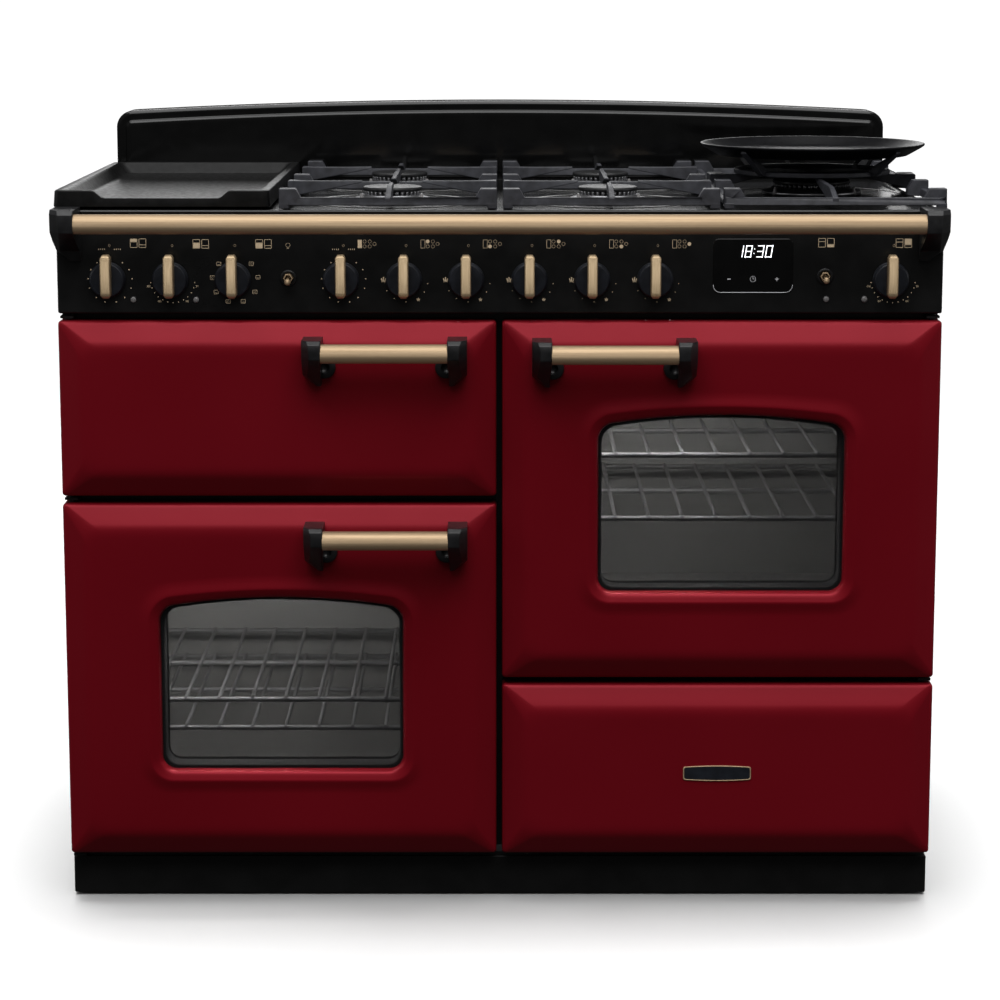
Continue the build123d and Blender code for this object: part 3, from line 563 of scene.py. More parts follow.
def toggles():
    """Brass nuts on black collars, with ball-ended levers that droop at rest."""
    droop, reach, side = radians(12), 17, Vector((1, 0, 0))
    along = Vector((0, -cos(droop), -sin(droop)))
    up = along.cross(side)
    collars, nuts = Shape(), Shape()
    for name in ("light_switch", "ignition_switch"):
        node = f"{name}_lever"
        low, high = box(node)
        x, z = (low.x + high.x) / 2, high.z - 3.2
        pivot = Vector((x, PANEL_LOW.y + 1, z))
        tip = pivot + along * reach
        lever = Shape().revolve(ball(4), tip, "z", 28).revolve(ball(3.1), pivot, "z", 24)
        rings = []
        for t, r in ((0.1, 1.9), (0.5, 1.7), (0.9, 2.2)):
            centre, turns = pivot + along * reach * t, [2 * pi * k / 20 for k in range(20)]
            rings.append([centre + (side * cos(a) + up * sin(a)) * r for a in turns])
        lever.loft(rings).make(f"{name}_ball_lever", BRASS_X, name, "brass", replaced=[node])
        collars.revolve([(10, 0.3), (10, -1.6), (9.2, -2.6), (7.5, -2.9), (6.6, -2.2), (6.4, 0.3)],
                        (x, PANEL_LOW.y, z), "y", 48)
        nuts.revolve([(6.2, -1), (6.2, -5.6), (5.6, -6.6), (4.9, -6.9), (4.4, -6.5), (4.25, -3), (4.25, -1)],
                     (x, PANEL_LOW.y, z), "y", 6)
    collars.make("switch_collars", DIE_CAST, "carcass", "black_die_cast", replaced=["switch_bezels"])
    nuts.make("switch_nuts", BRASS_X, "carcass", "brass", bevel=0.5)


LAMP_CENTRES = [(-448.5, 765.0), (-371.8, 765.0), (399.0, 765.7), (445.7, 765.7)]


def lamps():
    """Domed lenses in thin dark rings."""
    lens, ring = Shape(), Shape()
    for x, z in LAMP_CENTRES:
        centre = (x, PANEL_LOW.y, z)
        lens.revolve([(3.5, 0.2), (3.5, -0.9), (3.1, -1.5), (2.2, -1.9), (1, -2.1), (0, -2.15)],
                     centre, "y", 32)
        ring.revolve([(4.4, 0.2), (4.4, -0.4), (4.1, -0.7), (3.7, -0.6), (3.6, 0.2)], centre, "y", 32)
    lens.make("lamp_lenses", LENS, "carcass", "lamp_lens", replaced=["indicator_lamps"])
    ring.make("lamp_rings", DIE_CAST, "carcass", "black_die_cast")


# Strokes of the digits in a cell one unit wide and two high
SEGMENTS = {"a": ((0, 2), (1, 2)), "b": ((1, 2), (1, 1)), "c": ((1, 1), (1, 0)), "d": ((0, 0), (1, 0)),
            "e": ((0, 0), (0, 1)), "f": ((0, 1), (0, 2)), "g": ((0, 1), (1, 1))}
DIGITS = {"0": "abcdef", "1": "bc", "2": "abged", "3": "abgcd", "4": "fgbc", "5": "afgcd", "6": "afgedc",
          "7": "abc", "8": "abcdefg", "9": "abcdfg"}


class Print:
    """Flat marks that stand a hair proud of the panel."""

    def __init__(self, y, thick=0.06):
        self.shape, self.y, self.thick = Shape(), y, thick

    def stroke(self, a, b, width):
        """A straight line of a given width."""
        dx, dz = b[0] - a[0], b[1] - a[1]
        length = sqrt(dx * dx + dz * dz) or 1.0
        nx, nz = -dz / length * width / 2, dx / length * width / 2
        ex, ez = dx / length * width / 2, dz / length * width / 2
        a, b = (a[0] - ex, a[1] - ez), (b[0] + ex, b[1] + ez)
        points = [(a[0] + nx, a[1] + nz), (a[0] - nx, a[1] - nz),
                  (b[0] - nx, b[1] - nz), (b[0] + nx, b[1] + nz)]
        self.shape.prism(points, self.y, self.y - self.thick)

    def frame(self, x0, x1, z0, z1, width):
        corners = [(x0, z0), (x1, z0), (x1, z1), (x0, z1)]
        for k in range(4):
            self.stroke(corners[k], corners[(k + 1) % 4], width)

    def patch(self, x0, x1, z0, z1):
        self.shape.prism([(x0, z0), (x1, z0), (x1, z1), (x0, z1)], self.y, self.y - self.thick)

    def dot(self, x, z, r, steps=14):
        points = [(x + r * cos(2 * pi * k / steps), z + r * sin(2 * pi * k / steps)) for k in range(steps)]
        self.shape.prism(points, self.y, self.y - self.thick)

    def ring(self, x, z, r, width, steps=18, squeeze=1.0):
        turns = [2 * pi * k / steps for k in range(steps + 1)]
        spots = [(x + r * squeeze * cos(a), z + r * sin(a)) for a in turns]
        for a, b in zip(spots, spots[1:]):
            self.stroke(a, b, width)

    def digits(self, text, x, z, height, width, slant=0.0):
        """Segment digits centred on a point; a colon is two dots."""
        cell, gap = height / 2, height * 0.28
        total = sum(gap if c == ":" else cell + gap for c in text) - gap
        at = x - total / 2
        for c in text:
            if c == ":":
                for h in (-0.18, 0.22):
                    self.dot(at + slant * height * h - gap * 0.1, z + height * h, width * 0.62, 10)
                at += gap
                continue
            for s in DIGITS[c]:
                ends = [(at + u * cell + slant * (v - 1) * cell, z + (v - 1) * cell) for u, v in SEGMENTS[s]]
                self.stroke(*ends, width)
            at += cell + gap


def cavity_mark(marks, x, z, left, lit):
    """Two oven outlines side by side, with the part in use filled."""
    w, h, line = 8.4, 10.6, 0.55
    for column in (0, 1):
        x0 = x + column * (w + 2.3) - w - 1.1
        marks.frame(x0, x0 + w, z - h / 2, z + h / 2, line)
        split = z + (1.4 if column == 0 else -2.0)
        marks.stroke((x0, split), (x0 + w, split), line)
        if column == left:
            low, high = (split, z + h / 2) if lit == "top" else (z - h / 2, split)
            marks.patch(x0, x0 + w, low, high)


def hob_mark(marks, x, z, lit):
    """A hob plan: a plate, four rings and one ring, with the one in use filled."""
    line = 0.45
    x0 = x - 10.5
    if lit == 0:
        marks.patch(x0, x0 + 5, z - 5, z + 5)
    else:
        marks.frame(x0, x0 + 5, z - 5, z + 5, line)
    spots = [(8.3, -3.0), (8.3, 3.0), (14.6, -3.0), (14.6, 3.0), (20.4, 0.0)]
    for k, (u, v) in enumerate(spots, 1):
        if k == lit:
            marks.dot(x0 + u, z + v, 2.3, 16)
        else:
            marks.ring(x0 + u, z + v, 2.0, line, 14)


def flame_mark(marks, x, z, size):
    """A flame: three rising tongues."""
    for lean, tall in ((-0.45, 0.75), (0.0, 1.0), (0.45, 0.7)):
        foot, tip = (x + lean * size * 0.5, z - size * 0.5), (x + lean * size, z - size * 0.5 + tall * size)
        marks.stroke(foot, tip, size * 0.22)
    marks.stroke((x - size * 0.3, z - size * 0.5), (x + size * 0.3, z - size * 0.5), size * 0.22)


def around(x, z, r, clock_degrees):
    """A point on a circle, with the angle counted clockwise from the top."""
    a = radians(clock_degrees)
    return x + r * sin(a), z + r * cos(a)


def panel_print():
    """All printed scales and symbols of the panel."""
    marks = Print(PANEL_LOW.y - 0.01)
    zero_rise, scale_r = 42, 27.0
    burner_knobs = [f"burner_knob_{n}" for n in range(1, 6)]
    names = ["grill_knob", "left_oven_thermostat_knob", "oven_function_knob", "ceramic_zone_knob",
             *burner_knobs, "right_oven_thermostat_knob"]
    places = {name: knob_axis(name) for name in names}
    for x, z in places.values():
        marks.ring(x + 3, z + zero_rise, 1.5, 0.5, 12, 0.75)
    for name in ("grill_knob", "ceramic_zone_knob"):
        x, z = places[name]
        x += 3
        for degrees in (35, 60, 85, 110, 140, 165):
            for s in (-1, 1):
                marks.dot(*around(x, z - 1, scale_r, s * degrees), 0.75, 8)
        for s in (-1, 1):
            for k in range(4):
                marks.stroke((x + s * (6 + 2.4 * k), z + 37), (x + s * (6 + 2.4 * k), z + 38), 0.7)
    for name in ("left_oven_thermostat_knob", "right_oven_thermostat_knob"):
        x, z = places[name]
        x += 3
        for k in range(13):
            marks.dot(*around(x, z - 1, scale_r, 95 + 170 * k / 12), 0.65, 8)
        for text, degrees in (("50", 99), ("100", 142), ("150", 218), ("250", 261)):
            cx, cz = around(x, z - 1, scale_r + 3.4, degrees + (4 if degrees < 180 else -4))
            marks.digits(text, cx, cz, 2.0, 0.3)
    x, z = places["oven_function_knob"]
    for k in range(8):
        cx, cz = around(x + 3, z, scale_r + 1, 45 + 38.5 * k)
        marks.frame(cx - 2.6, cx + 2.6, cz - 2.2, cz + 2.2, 0.45)
        if k % 2:
            marks.stroke((cx - 1.4, cz - 1.0), (cx + 1.4, cz - 1.0), 0.4)
        else:
            marks.ring(cx, cz, 1.1, 0.35, 10)
    for name, burner in zip(burner_knobs, (2, 1, 4, 3, 5)):
        x, z = places[name]
        x += 2.5
        flame_mark(marks, *around(x, z, scale_r + 0.5, -90), 5.4)
        flame_mark(marks, *around(x, z, scale_r + 1.5, 148), 3.4)
        for degrees in (100, 124, 180, 212, 240):
            marks.dot(*around(x, z, scale_r, degrees), 0.55, 8)
        hob_mark(marks, x + 29, z + 44, burner)
    x, z = places["ceramic_zone_knob"]
    hob_mark(marks, x + 31, z + 44, 0)
    row = places["grill_knob"][1] + 43.5
    for knob_name, shift, left, lit in (
            ("grill_knob", 38, 0, "top"), ("left_oven_thermostat_knob", 38, 0, "bottom"),
            ("oven_function_knob", 38, 0, "bottom"), ("right_oven_thermostat_knob", 15, 1, "top")):
        cavity_mark(marks, places[knob_name][0] + shift, row + (1.5 if lit == "top" else 0.5), left, lit)
    toggle = box("ignition_switch_lever")
    cavity_mark(marks, (toggle[0].x + toggle[1].x) / 2 + 1, row + 2, 1, "bottom")
    lever = box("light_switch_lever")
    bulb_x, bulb_z = (lever[0].x + lever[1].x) / 2, row - 1
    marks.ring(bulb_x, bulb_z, 2.6, 0.5, 16)
    marks.stroke((bulb_x - 1.0, bulb_z - 3.8), (bulb_x + 1.0, bulb_z - 3.8), 0.6)
    marks.shape.make("panel_marks", PRINT, "carcass", "brass", smooth=False)


def clock():
    """Black screen with a bright line along its lower edge, lit time and touch symbols."""
    x0, x1, z0, z1 = limits_xz("clock_display")
    y = PANEL_LOW.y
    rings = stepped((x0, x1, z0, z1), 7, [(0, y + 1), (0, y - 0.4), (0.4, y - 0.8), (1.2, y - 1)])
    Shape().loft(rings).make("clock_screen", SCREEN, "carcass", "display_glass", replaced=["clock_display"])
    line = Print(y - 1.0, 0.15)
    r, inset = 9, 0.6
    arc = [around(x0 + inset + r, z0 + inset + r, r, 270 - 9 * k) for k in range(11)]
    arc += [around(x1 - inset - r, z0 + inset + r, r, 180 - 9 * k) for k in range(11)]
    for a, b in zip(arc, arc[1:]):
        line.stroke(a, b, 0.55)
    line.shape.make("clock_trim_line", SILVER, "carcass", "brass", smooth=False)
    lit = Print(y - 1.02, 0.05)
    middle = (x0 + x1) / 2
    lit.digits("18:30", middle + 1.5, z1 - 15.5, 13.5, 1.05, 0.16)
    lit.shape.make("clock_digits", GLOW, "carcass", "display_glass", smooth=False)
    keys = Print(y - 1.02, 0.05)
    low = z0 + 17.0
    keys.stroke((middle - 31, low), (middle - 27.5, low), 0.7)
    keys.stroke((middle + 27.5, low), (middle + 31, low), 0.7)
    keys.stroke((middle + 29.25, low - 1.75), (middle + 29.25, low + 1.75), 0.7)
    keys.ring(middle, low, 3.4, 0.6, 22)
    keys.stroke((middle, low), (middle, low + 2.0), 0.5)
    keys.stroke((middle, low), (middle + 1.4, low), 0.5)
    keys.shape.make("clock_keys", SILVER, "carcass", "display_glass", smooth=False)


def handrail():
    """Brass towel rail on two faceted end brackets."""
    low, high = box("handrail")
    r = (high.z - low.z) / 2
    centre_y, centre_z = (low.y + high.y) / 2, (low.z + high.z) / 2
    rail = Shape()
    length = high.x - low.x
    rail.revolve([(r - 1, 0.0), (r, 1), (r, length - 1), (r - 1, length)],
                 (low.x, centre_y, centre_z), "x", 56)
    rail.make("handrail_tube", BRASS_X, "carcass", "brass", replaced=["handrail"])
    b_low, b_high = box("handrail_brackets")
    arms = Shape()
    face, front, width = PANEL_LOW.y - 0.1, b_low.y, b_high.x - high.x + 6
    for x_outer, inward in ((b_low.x, 1.0), (b_high.x, -1.0)):
        sections = [
            (b_high.z, 0.0, width, front + 9, 14),
            (b_high.z - 5, 0.0, width, front + 2, 16),
            (centre_z, 0.0, width, front, 18),
            (centre_z - 10, 0.0, width, front + 1, 18),
            (centre_z - 22, 0.5, width, front + 22, 13),
            (b_low.z + 13, 1.5, width, face - 13, 6),
            (b_low.z, 17, width, face - 6, 2),
        ]
        arms.loft(arm_rings(x_outer, inward, sections, face))
    arms.make("handrail_end_brackets", DIE_CAST, "carcass", "black_die_cast",
              replaced=["handrail_brackets"], bevel=1.2)


# ---------------------------------------------------------------- hob

SMALL_BURNERS = [(-137, -108), (-137, 145), (137, -108), (137, 145)]
WOK_BURNER = (410, 12)


def hob_tray():
    """Glossy pressed tray: rolled rim, a shallow step down and a ring dished round each burner."""
    limits = limits_xy("hob_tray")
    tray = Shape()
    rings = []
    for inset, drop, radius in ((0, 5.0, 18), (0, 2.0, 18), (0.6, 0.8, 17.5), (2.0, 0.0, 17), (9.0, 0.0, 14),
                                (11.0, 0.5, 13), (13.5, 1.8, 12), (16.0, 2.2, 12)):
        rings.append(flat(outline(limits, radius, -inset), HOB_Z - drop))
    tray.loft(rings, cap_first=False)
    tray.make("hob_spill_tray", HOB_BLACK, "carcass", "black_enamel", replaced=["hob_tray"], wall=1.0)
    wells = Shape()
    floor = HOB_Z - 2.2
    for x, y, r in [(*place, 104) for place in SMALL_BURNERS] + [(*WOK_BURNER, 118)]:
        wells.revolve([(r + 5, floor - 0.4), (r + 4, floor + 0.5), (r + 1.5, floor + 1.5),
                       (r - 1.5, floor + 1.5), (r - 4, floor + 0.5), (r - 5, floor - 0.4),
                       (r + 5, floor - 0.4)], (x, y, 0.0), "z", 96)
    wells.make("hob_pressed_rings", HOB_BLACK, "carcass", "black_enamel")


def burner(index, x, y, r):
    """Aluminium base with cut flame ports, and a black enamelled cap."""
    z = HOB_Z
    base = Shape()
    base.revolve([(r, -1.5), (r, 2.2), (r - 1.2, 3.4), (r * 0.86, 4.4), (r * 0.80, 7.4), (r * 0.79, 8),
                  (0, 8)], (x, y, z), "z", 72)
    teeth = 32 if r < 60 else 44
    r0, r1 = r * 0.60, r * 0.76
    for k in range(teeth):
        a = 2 * pi * k / teeth
        wide = pi / teeth * 0.62
        low_ring = [(x + q * cos(a + s), y + q * sin(a + s), z + 8.0)
                    for q, s in ((r0, -wide), (r1, -wide), (r1, wide), (r0, wide))]
        high_ring = [(px, py, z + 13.0) for px, py, _ in low_ring]
        base.loft([low_ring, high_ring])
    base.revolve([(r * 0.62, 8.0), (r * 0.62, 13.0), (0.0, 13.0)], (x, y, z), "z", 48)
    base.make(f"burner_base_{index}", ALUMINIUM, "carcass", "burner_aluminium",
              replaced=["burner_bases"] if index == 1 else ())
    cap = Shape()
    c = r * 0.78
    cap.revolve([(0.0, 13.0), (c - 1, 13.0), (c, 13.6), (c, 15.8), (c - 0.8, 17.0),
                 (c - 2.6, 17.8), (c * 0.6, 18.0), (0.0, 18.0)], (x, y, z), "z", 72)
    cap.make(f"burner_cap_{index}", CAP_BLACK, "carcass", "cast_iron",
             replaced=["burner_caps"] if index == 1 else ())


def burners():
    for n, (x, y) in enumerate(SMALL_BURNERS, 1):
        burner(n, x, y, 48.5)
    burner(5, *WOK_BURNER, 65)
    pins = Shape()
    for x, y, r in [(*place, 48.5) for place in SMALL_BURNERS] + [(*WOK_BURNER, 65)]:
        for side in (-0.7, 0.7):
            centre = (x + side * r * 1.12, y - r * 0.55, HOB_Z)
            pins.revolve([(3.6, -2), (3.6, 4), (2.2, 4.6), (2.0, 9),
                          (1.2, 10), (0.0, 10.2)], centre, "z", 18)
    pins.make("ignition_electrodes", LENS, "carcass", "lamp_lens")


def bar(shape, a, b, z0, z1, wide, narrow):
    """A cast bar between two points, a little narrower at its top."""
    ax, ay = a
    bx, by = b
    length = sqrt((bx - ax) ** 2 + (by - ay) ** 2)
    nx, ny = -(by - ay) / length / 2, (bx - ax) / length / 2
    rings = []
    for z, w in ((z0, wide), (z1, narrow)):
        rings.append([(ax + nx * w, ay + ny * w, z), (ax - nx * w, ay - ny * w, z),
                      (bx - nx * w, by - ny * w, z), (bx + nx * w, by + ny * w, z)])
    shape.loft(rings)


def finger(shape, foot, tip, z0, z1, slope=0.0, flare=12):
    """A pan finger: flared and deep at its foot, its underside arched up to a thin raised tip."""
    fx, fy = foot
    tx, ty = tip
    length = sqrt((tx - fx) ** 2 + (ty - fy) ** 2)
    dx, dy = (tx - fx) / length, (ty - fy) / length
    nx, ny = -dy / 2, dx / 2
    rings = []
    for t in (0.0, 0.04, 0.09, 0.15, 0.22, 0.32, 0.45, 0.6, 0.75, 0.9, 1.0):
        s = t * length
        root = max(0.0, 1 - s / (26)) ** 2
        wide = 10.5 - 2.5 * t + 2 * flare * root
        narrow = 7.0 - 2.0 * t + 1.7 * flare * root
        top = z1 - slope * max(0.0, 1 - s / (48)) - 0.5 * sin(pi * t)
        under = min(z0 + (z1 - z0 - 2.6) * t ** 1.1, top - 2.5)
        px, py = fx + dx * s, fy + dy * s
        rings.append([(px + nx * wide, py + ny * wide, under), (px - nx * wide, py - ny * wide, under),
                      (px - nx * narrow, py - ny * narrow, top), (px + nx * narrow, py + ny * narrow, top)])
    shape.loft(rings)


def pan_support(side, spots, reach, lug_rows):
    """A cast pan support: chamfered frame, feet, blunt side lugs and fingers round each burner."""
    node = f"pan_support_{side}"
    low, high = box(node)
    x0, x1, y0, y1 = low.x, high.x, low.y, high.y
    top, bar_low, bar_high = high.z, HOB_Z + 4.5, HOB_Z + 14.0
    wide, narrow = 12, 8
    half = wide / 2
    shape = Shape()
    corners = [(x0 + half, y0 + half), (x1 - half, y0 + half), (x1 - half, y1 - half), (x0 + half, y1 - half)]
    for k in range(4):
        a, b = Vector(corners[k]), Vector(corners[(k + 1) % 4])
        run = (b - a).normalized() * 4
        bar(shape, tuple(a - run), tuple(b + run), bar_low, bar_high, wide, narrow)
    for x, y in corners:
        square = [(x - half, y - half), (x + half, y - half), (x + half, y + half), (x - half, y + half)]
        shape.prism(square, low.z, bar_low + 3, "z")
    for y in lug_rows:
        for facing, x in ((1, x0), (-1, x1)):
            rings = []
            for inward, w, z_low, z_high in ((0, 11, bar_low, top), (20, 10, bar_low, top),
                                             (27, 8, bar_low + 1, bar_high - 1)):
                px = x + facing * inward
                ends = [(px, y - w, z_low), (px, y + w, z_low),
                        (px, y + w - 2, z_high), (px, y - w + 2, z_high)]
                rings.append([(p[0], min(max(p[1], y0), y1), p[2]) for p in ends])
            shape.loft(rings)
    centre = spots[0][0]
    for x, y in spots:
        finger(shape, (x0 + 1, y), (x - reach, y), bar_low, top)
        finger(shape, (x1 - 1, y), (x + reach, y), bar_low, top)
    front, rear = spots[0][1], spots[-1][1]
    finger(shape, (centre, y0 + 1), (centre, front - reach), bar_low, top, 11, 0.0)
    finger(shape, (centre, y1 - 1), (centre, rear + reach), bar_low, top, 11, 0.0)
    if len(spots) > 1:
        middle = (front + rear) / 2
        bar(shape, (x0 + 2, middle), (x1 - 2, middle), bar_low, bar_high, wide, narrow)
        finger(shape, (centre, middle), (centre, front + reach), bar_low, top, 0.0, 0.0)
        finger(shape, (centre, middle), (centre, rear - reach), bar_low, top, 0.0, 0.0)
    shape.make(f"{node}_casting", IRON, f"{side}_support_body", "cast_iron", replaced=[node], bevel=1.2)


def griddle():
    """Cast griddle: chamfered outer walls, sloped well and a lowered pouring lip at the front."""
    low, high = box("griddle")
    limits = limits_xy("griddle")
    dip = 9.5
    left, right, slope = low.x + 47, high.x - 48, 15

    def fall(x, y):
        """How far the front wall is lowered at a place."""
        if y > low.y + 26:
            return 0.0
        a = min(1.0, max(0.0, (x - left) / slope))
        b = min(1.0, max(0.0, (right - x) / slope))
        t = min(a, b)
        return dip * t * t * (3 - 2 * t)

    counts = {"side": 56, "corner": 8}
    rings = []
    for inset, z, radius in ((9, low.z, 8), (0.8, low.z + 0.4, 9), (0.0, low.z + 1.5, 9),
                             (1.2, high.z - 1.6, 9), (2.4, high.z - 0.2, 9), (4.0, high.z, 9),
                             (10.0, high.z, 8), (12.0, high.z - 0.6, 8), (14.5, high.z - 3.0, 9),
                             (21.5, low.z + 7.6, 12),
                             (24.0, low.z + 6.2, 14), (28.0, low.z + 5.8, 16)):
        ring = []
        share = (z - low.z - 5.8) / (high.z - low.z - 5.8)
        for x, y in outline(limits, radius, -inset, **counts):
            ring.append((x, y, z - max(0.0, share) * fall(x, y)))
        rings.append(ring)
    shape = Shape()
    shape.loft(rings)
    shape.make("griddle_casting", GRIDDLE_IRON, "griddle_body", "cast_iron", replaced=["griddle"])
    feet = Shape()
    for x in (low.x + 40, high.x - 40):
        for y in (low.y + 24, high.y - 24):
            feet.revolve([(8, -1.2), (8.5, 0.0), (9, 2), (0.0, 2)], (x, y, low.z), "z", 24)
    feet.make("griddle_feet", GRIDDLE_IRON, "griddle_body", "cast_iron")


def wok_ring_and_dish():
    """Cast ring on four swept arms, and a shallow dish with a rolled rim."""
    x, y = WOK_BURNER
    low = box("wok_ring")[0]
    profile = [(94.5, 1), (94.5, 5.5), (95.5, 6.6), (100.5, 6.6), (101.8, 5.5), (101.8, 1), (100.5, 0.1),
               (95.5, 0.1), (94.5, 1)]
    ring = Shape().revolve(profile, (x, y, low.z), "z", 96)
    d_low, d_high = box("round_dish")
    foot, base, half = low.z, d_low.z, 5
    stations = [(93, foot + 0.2, foot + 7.5), (100, foot + 0.2, foot + 11.5), (108, foot + 3.5, base - 7.5),
                (120, base - 9.5, base - 0.8), (130, base - 1.5, base + 3.2), (140, base + 7, base + 10.2)]
    for k in range(4):
        a = radians(45 + 90 * k)
        rings = []
        for r, z_low, z_high in stations:
            rings.append([(x + r * cos(a) - w * sin(a), y + r * sin(a) + w * cos(a), z) for w, z in
                          ((half, z_low), (-half, z_low), (-half * 0.75, z_high), (half * 0.75, z_high))])
        ring.loft(rings)
    ring.make("wok_ring_casting", IRON, "wok_ring_body", "cast_iron", replaced=["wok_ring"], bevel=0.9)
    rim_r, rim_z = (d_high.x - d_low.x) / 2, d_high.z - d_low.z
    rim = [(4.6, 5.6), (1, 3.2), (0, 1.8), (0.3, 0.5), (1.6, 0), (3.4, 0.5), (6, 2.6)]    # (inward, down)
    profile = [(0, 0.5), (70, 0.4), (116, 0.1), (121, 0), (124.5, 0.5), (128, 2.3)]
    profile += [(rim_r - inward, rim_z - down) for inward, down in rim]
    profile += [(128, 5.8), (124, 4), (118, 3.3), (60, 3.4), (0, 3.4)]
    Shape().revolve(profile, (x, y, base), "z", 128).make(
        "round_dish_shell", DISH_IRON, "dish_body", "cast_iron", replaced=["round_dish"])


def ceramic_zone():
    """Black glass plate of the radiant zone."""
    limits, top = limits_xy("ceramic_zone"), box("ceramic_zone")[1].z
    rings = [flat(outline(limits, 5, -inset), top - drop) for inset, drop in ((0, 3.5), (0, 0.8), (0.8, 0))]
    Shape().loft(rings).make("ceramic_plate", CERAMIC, "carcass", "ceramic_glass", replaced=["ceramic_zone"])


def backguard():
    """Upstand with an arched top, a raised border and a glossy recessed face."""
    low, high = box("backguard")
    rise = 15
    limits = (low.x, high.x, low.z, high.z - rise)
    front, back = low.y, high.y
    rings = []
    for inset, y in ((4.0, front + 7), (4.0, back - 0.6), (3.4, back), (0.6, back), (0.0, back - 0.6),
                     (0.0, front + 8), (0.5, front + 6.0), (1.8, front + 4.5), (4.0, front + 3.7),
                     (6.0, front + 3.6), (12.4, front + 3.8), (13.2, front + 3.4), (14.4, front + 1.3),
                     (15.4, front + 0.4), (17.0, front), (21.0, front)):
        rings.append(upright(outline(limits, max(3.0, 22.0 - inset), -inset, rise, side=28,
                                     square_foot=True), y))
    shape = Shape()
    shape.loft(rings)
    pressing = shape.make("backguard_pressing", GLOSS_BLACK, "carcass", "black_enamel",
                          replaced=["backguard"])
    leave_out(pressing, [bpy.data.objects[f"side_fill_{side}"] for side in (-1, 1)])


def hob_support_frame():
    """Folded channels that close the gaps under the hob and under the upstand."""
    panels, tray, upstand = box("side_panels"), box("hob_tray"), box("backguard")
    wall_x, rear_y, foot = panels[1].x - 4.5, box("back_panel")[0].y - 1, panels[1].z - 6
    for name, y0, y1, top in (("hob_support_frame", PANEL_HIGH.y + 3, tray[1].y - 1, tray[0].z - 0.1),
                              ("upstand_support_frame", tray[1].y + 1, rear_y, upstand[0].z - 0.1)):
        shape = Shape()
        shape.loft([flat(outline((-wall_x, wall_x, y0, y1), 3), z) for z in (foot, top)], False, False)
        shape.make(name, SIDE_BLACK, "carcass", "black_enamel", wall=0.8)


def plinth():
    """Kick strip with soft edges and short side returns."""
    low, high = box("plinth")
    steps = [(0, high.y), (0, low.y + 2), (0.5, low.y + 0.7), (2, low.y)]
    Shape().loft(stepped(limits_xz("plinth"), 2.5, steps), cap_first=False).make(
        "plinth_strip", PLINTH_BLACK, "carcass", "black_enamel", replaced=["plinth"], wall=1.5)


# ---------------------------------------------------------------- CAD pieces that keep their shape

def dress_frame():
    """Gives every CAD piece that stays in view its own material."""
    finishes = {
        ENAMEL_GREY: ["grill_cavity", "left_oven_cavity", "right_oven_cavity", "grill_pan",
                      "grill_door_liner", "left_oven_door_liner", "right_oven_door_liner"],
        ZINC: ["base_frame", "back_panel", "drawer_runners", "drawer_box", "levelling_feet"],
        SIDE_BLACK: ["side_panels", "front_frame", "hinge_brackets"],
        CHROME: ["oven_shelves"],
        SHEATH: ["heating_elements"],
        SEAL: ["door_seals"],
        RUBBER: ["rear_rollers"],
        FITTING_BRASS: ["rear_connections"],
    }
    for material, names in finishes.items():
        for name in names:
            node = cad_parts[name]
            node.data.materials.clear()
            node.data.materials.append(material)


# ---------------------------------------------------------------- stage, light and camera

def area_light(name, place, target, size, power, size_y=None, color=(1.0, 1.0, 1.0)):
    light = bpy.data.lights.new(name, "AREA")
    light.shape = "RECTANGLE"
    light.size, light.size_y = size, size_y or size
    light.energy, light.color = power, color
    obj = bpy.data.objects.new(name, light)
    obj.location = place
    obj.rotation_euler = (Vector(target) - Vector(place)).to_track_quat("-Z", "Y").to_euler()
    bpy.context.scene.collection.objects.link(obj)
    return obj


def sun(name, strength, spread, lean):
    """A soft sun, leaning so many degrees towards the front from straight above."""
    light = bpy.data.lights.new(name, "SUN")
    light.energy, light.angle = strength, radians(spread)
    obj = bpy.data.objects.new(name, light)
    obj.rotation_euler = (radians(lean), 0.0, 0.0)
    bpy.context.scene.collection.objects.link(obj)
    return obj


def only_on(name, lamp, *objects):
    """Lets a lamp fall on a few pieces alone."""
    lamp.light_linking.receiver_collection = bpy.data.collections.new(name)
    for obj in objects:
        lamp.light_linking.receiver_collection.objects.link(obj)


def leave_out(obj, lights):
    """Keeps one piece out of the light of some lamps."""
    group = bpy.data.collections.new(f"all_but_{obj.name}")
    group.objects.link(obj)
    group.collection_objects[0].light_linking.link_state = "EXCLUDE"
    for light in lights:
        light.light_linking.receiver_collection = group


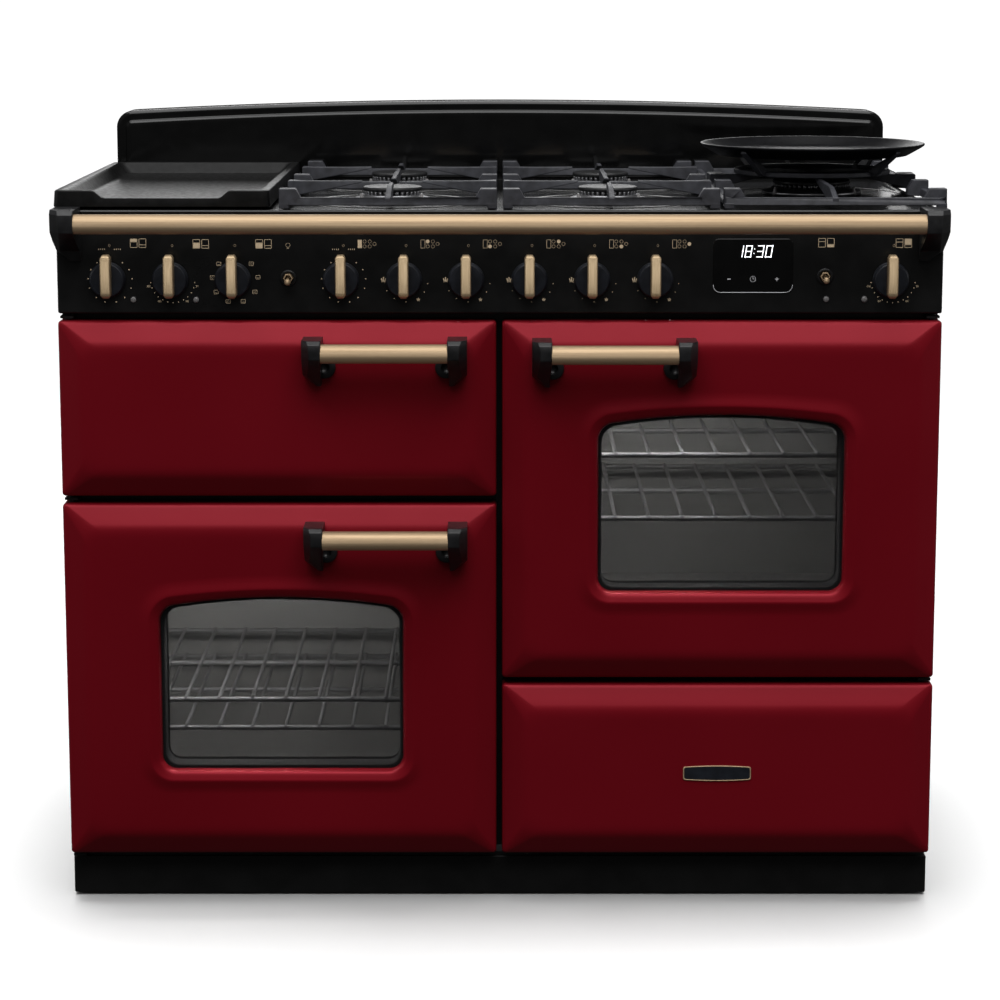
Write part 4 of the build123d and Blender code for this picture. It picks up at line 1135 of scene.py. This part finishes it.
def stage():
    """A pale floor, a white surround and soft lights."""
    reach, thick = 14.0, 0.02
    corners = [(-reach, -reach), (reach, -reach), (reach, reach), (-reach, reach)]
    slab = Shape().prism(corners, -thick, 0.0, "z")
    mesh = bpy.data.meshes.new("floor")
    mesh.from_pydata(slab.verts, [], slab.faces)
    pale = shader("studio_floor", (0.53, 0.53, 0.53), 0.6, Specular_IOR_Level=0.1)
    vary(pale, "Base Color", noise(pale, 1.5), (0.3, 0.52), (0.7, 0.54))
    mesh.materials.append(pale)
    floor = bpy.data.objects.new("floor", mesh)
    bpy.context.scene.collection.objects.link(floor)
    floor.visible_diffuse = floor.visible_glossy = False
    surround()

    sun("overhead_soft", 2.45, 66, 10)
    only_on("ground", sun("floor_soft", 4.0, 22, -6), floor)
    area_light("front_soft", (0.0, -2.0, 2.6), (0.0, -0.26, 0.75), 2.6, 23, 1.3)
    trim_fill = area_light("trim_fill", (0.0, -5.0, 0.9), (0.0, 0.0, 0.75), 4.5, 70, 3.0)
    trim_fill.light_linking.receiver_collection = TRIM
    for side in (-1, 1):
        area_light(f"side_fill_{side}", (side * 3.2, -0.5, 1.7), (side * 0.5, 0.0, 0.5), 1.4, 10, 1.8)
    area_light("rear_fill", (0.0, 3.4, 2.0), (0.0, 0.3, 0.5), 2.2, 26, 1.4)
    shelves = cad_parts["oven_shelves"]
    for name in ("left_oven_cavity", "right_oven_cavity"):
        low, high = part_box(name)
        x = (low.x + high.x) / 2 - 0.11
        lamp = area_light(f"{name}_lamp", (x, low.y + 0.05, high.z - 0.03),
                          (low.x + 0.10, high.y, low.z + 0.03), 0.25, 6.4, 0.12, (1.0, 0.98, 0.95))
        leave_out(shelves, [lamp])
        edge = area_light(f"{name}_edge_lamp", (x, low.y + 0.006, high.z - 0.04), (x, low.y + 0.03, low.z),
                          0.26, 0.9, 0.01)
        only_on(f"{name}_shelves", edge, shelves)
        lamp.visible_camera = edge.visible_camera = False


def surround():
    """White to the eye; for the light that falls on the object, dim below and soft grey above."""
    world = bpy.data.worlds.new("surround")
    world.use_nodes = True
    nodes, link = world.node_tree.nodes, world.node_tree.links.new
    white = nodes["Background"]
    white.inputs["Color"].default_value = (1.0, 1.0, 1.0, 1.0)
    white.inputs["Strength"].default_value = 1.1
    dim, mix, path, coord, split, height = (nodes.new(f"ShaderNode{kind}") for kind in (
        "Background", "MixShader", "LightPath", "TexCoord", "SeparateXYZ", "Math"))
    height.operation = "MULTIPLY_ADD"    # from -1..1 to 0..1
    height.inputs[1].default_value = height.inputs[2].default_value = 0.5
    link(coord.outputs["Generated"], split.inputs["Vector"])
    link(split.outputs["Z"], height.inputs[0])
    stops = [(0.0, 0.05), (0.45, 0.035), (0.56, 0.09), (1.0, 0.16)]
    link(ramp(world, height.outputs["Value"], stops), dim.inputs["Color"])
    link(path.outputs["Is Camera Ray"], mix.inputs[0])
    link(dim.outputs["Background"], mix.inputs[1])
    link(white.outputs["Background"], mix.inputs[2])
    link(mix.outputs["Shader"], nodes["World Output"].inputs["Surface"])
    bpy.context.scene.world = world


def camera():
    """Eye height just above the hob, a long lens, and a small downward shift."""
    data = bpy.data.cameras.new("camera")
    data.sensor_width = 36.0
    data.lens = 96.32
    data.shift_y = -0.10
    obj = bpy.data.objects.new("camera", data)
    back_from_field, eye, tilt = 3.235, 1.152, radians(8.93)
    obj.location = (0.0, FIELD_Y * MM - back_from_field, eye)
    obj.rotation_euler = (pi / 2 - tilt, 0.0, 0.0)
    bpy.context.scene.collection.objects.link(obj)
    bpy.context.scene.camera = obj


camera()
stage()
dress_frame()
doors()
control_panel()
for knob_node in [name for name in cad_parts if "knob" in name]:
    knob(knob_node)
toggles()
lamps()
panel_print()
clock()
handrail()
hob_tray()
burners()
pan_support("left", SMALL_BURNERS[:2], 38, (-241, 2, 261))
pan_support("centre", SMALL_BURNERS[2:], 38, (-241, 2, 261))
pan_support("right", [WOK_BURNER], 60, (-238, -95, 34, 262))
griddle()
wok_ring_and_dish()
ceramic_zone()
backguard()
hob_support_frame()
plinth()

bpy.context.scene.view_settings.view_transform = "Standard"
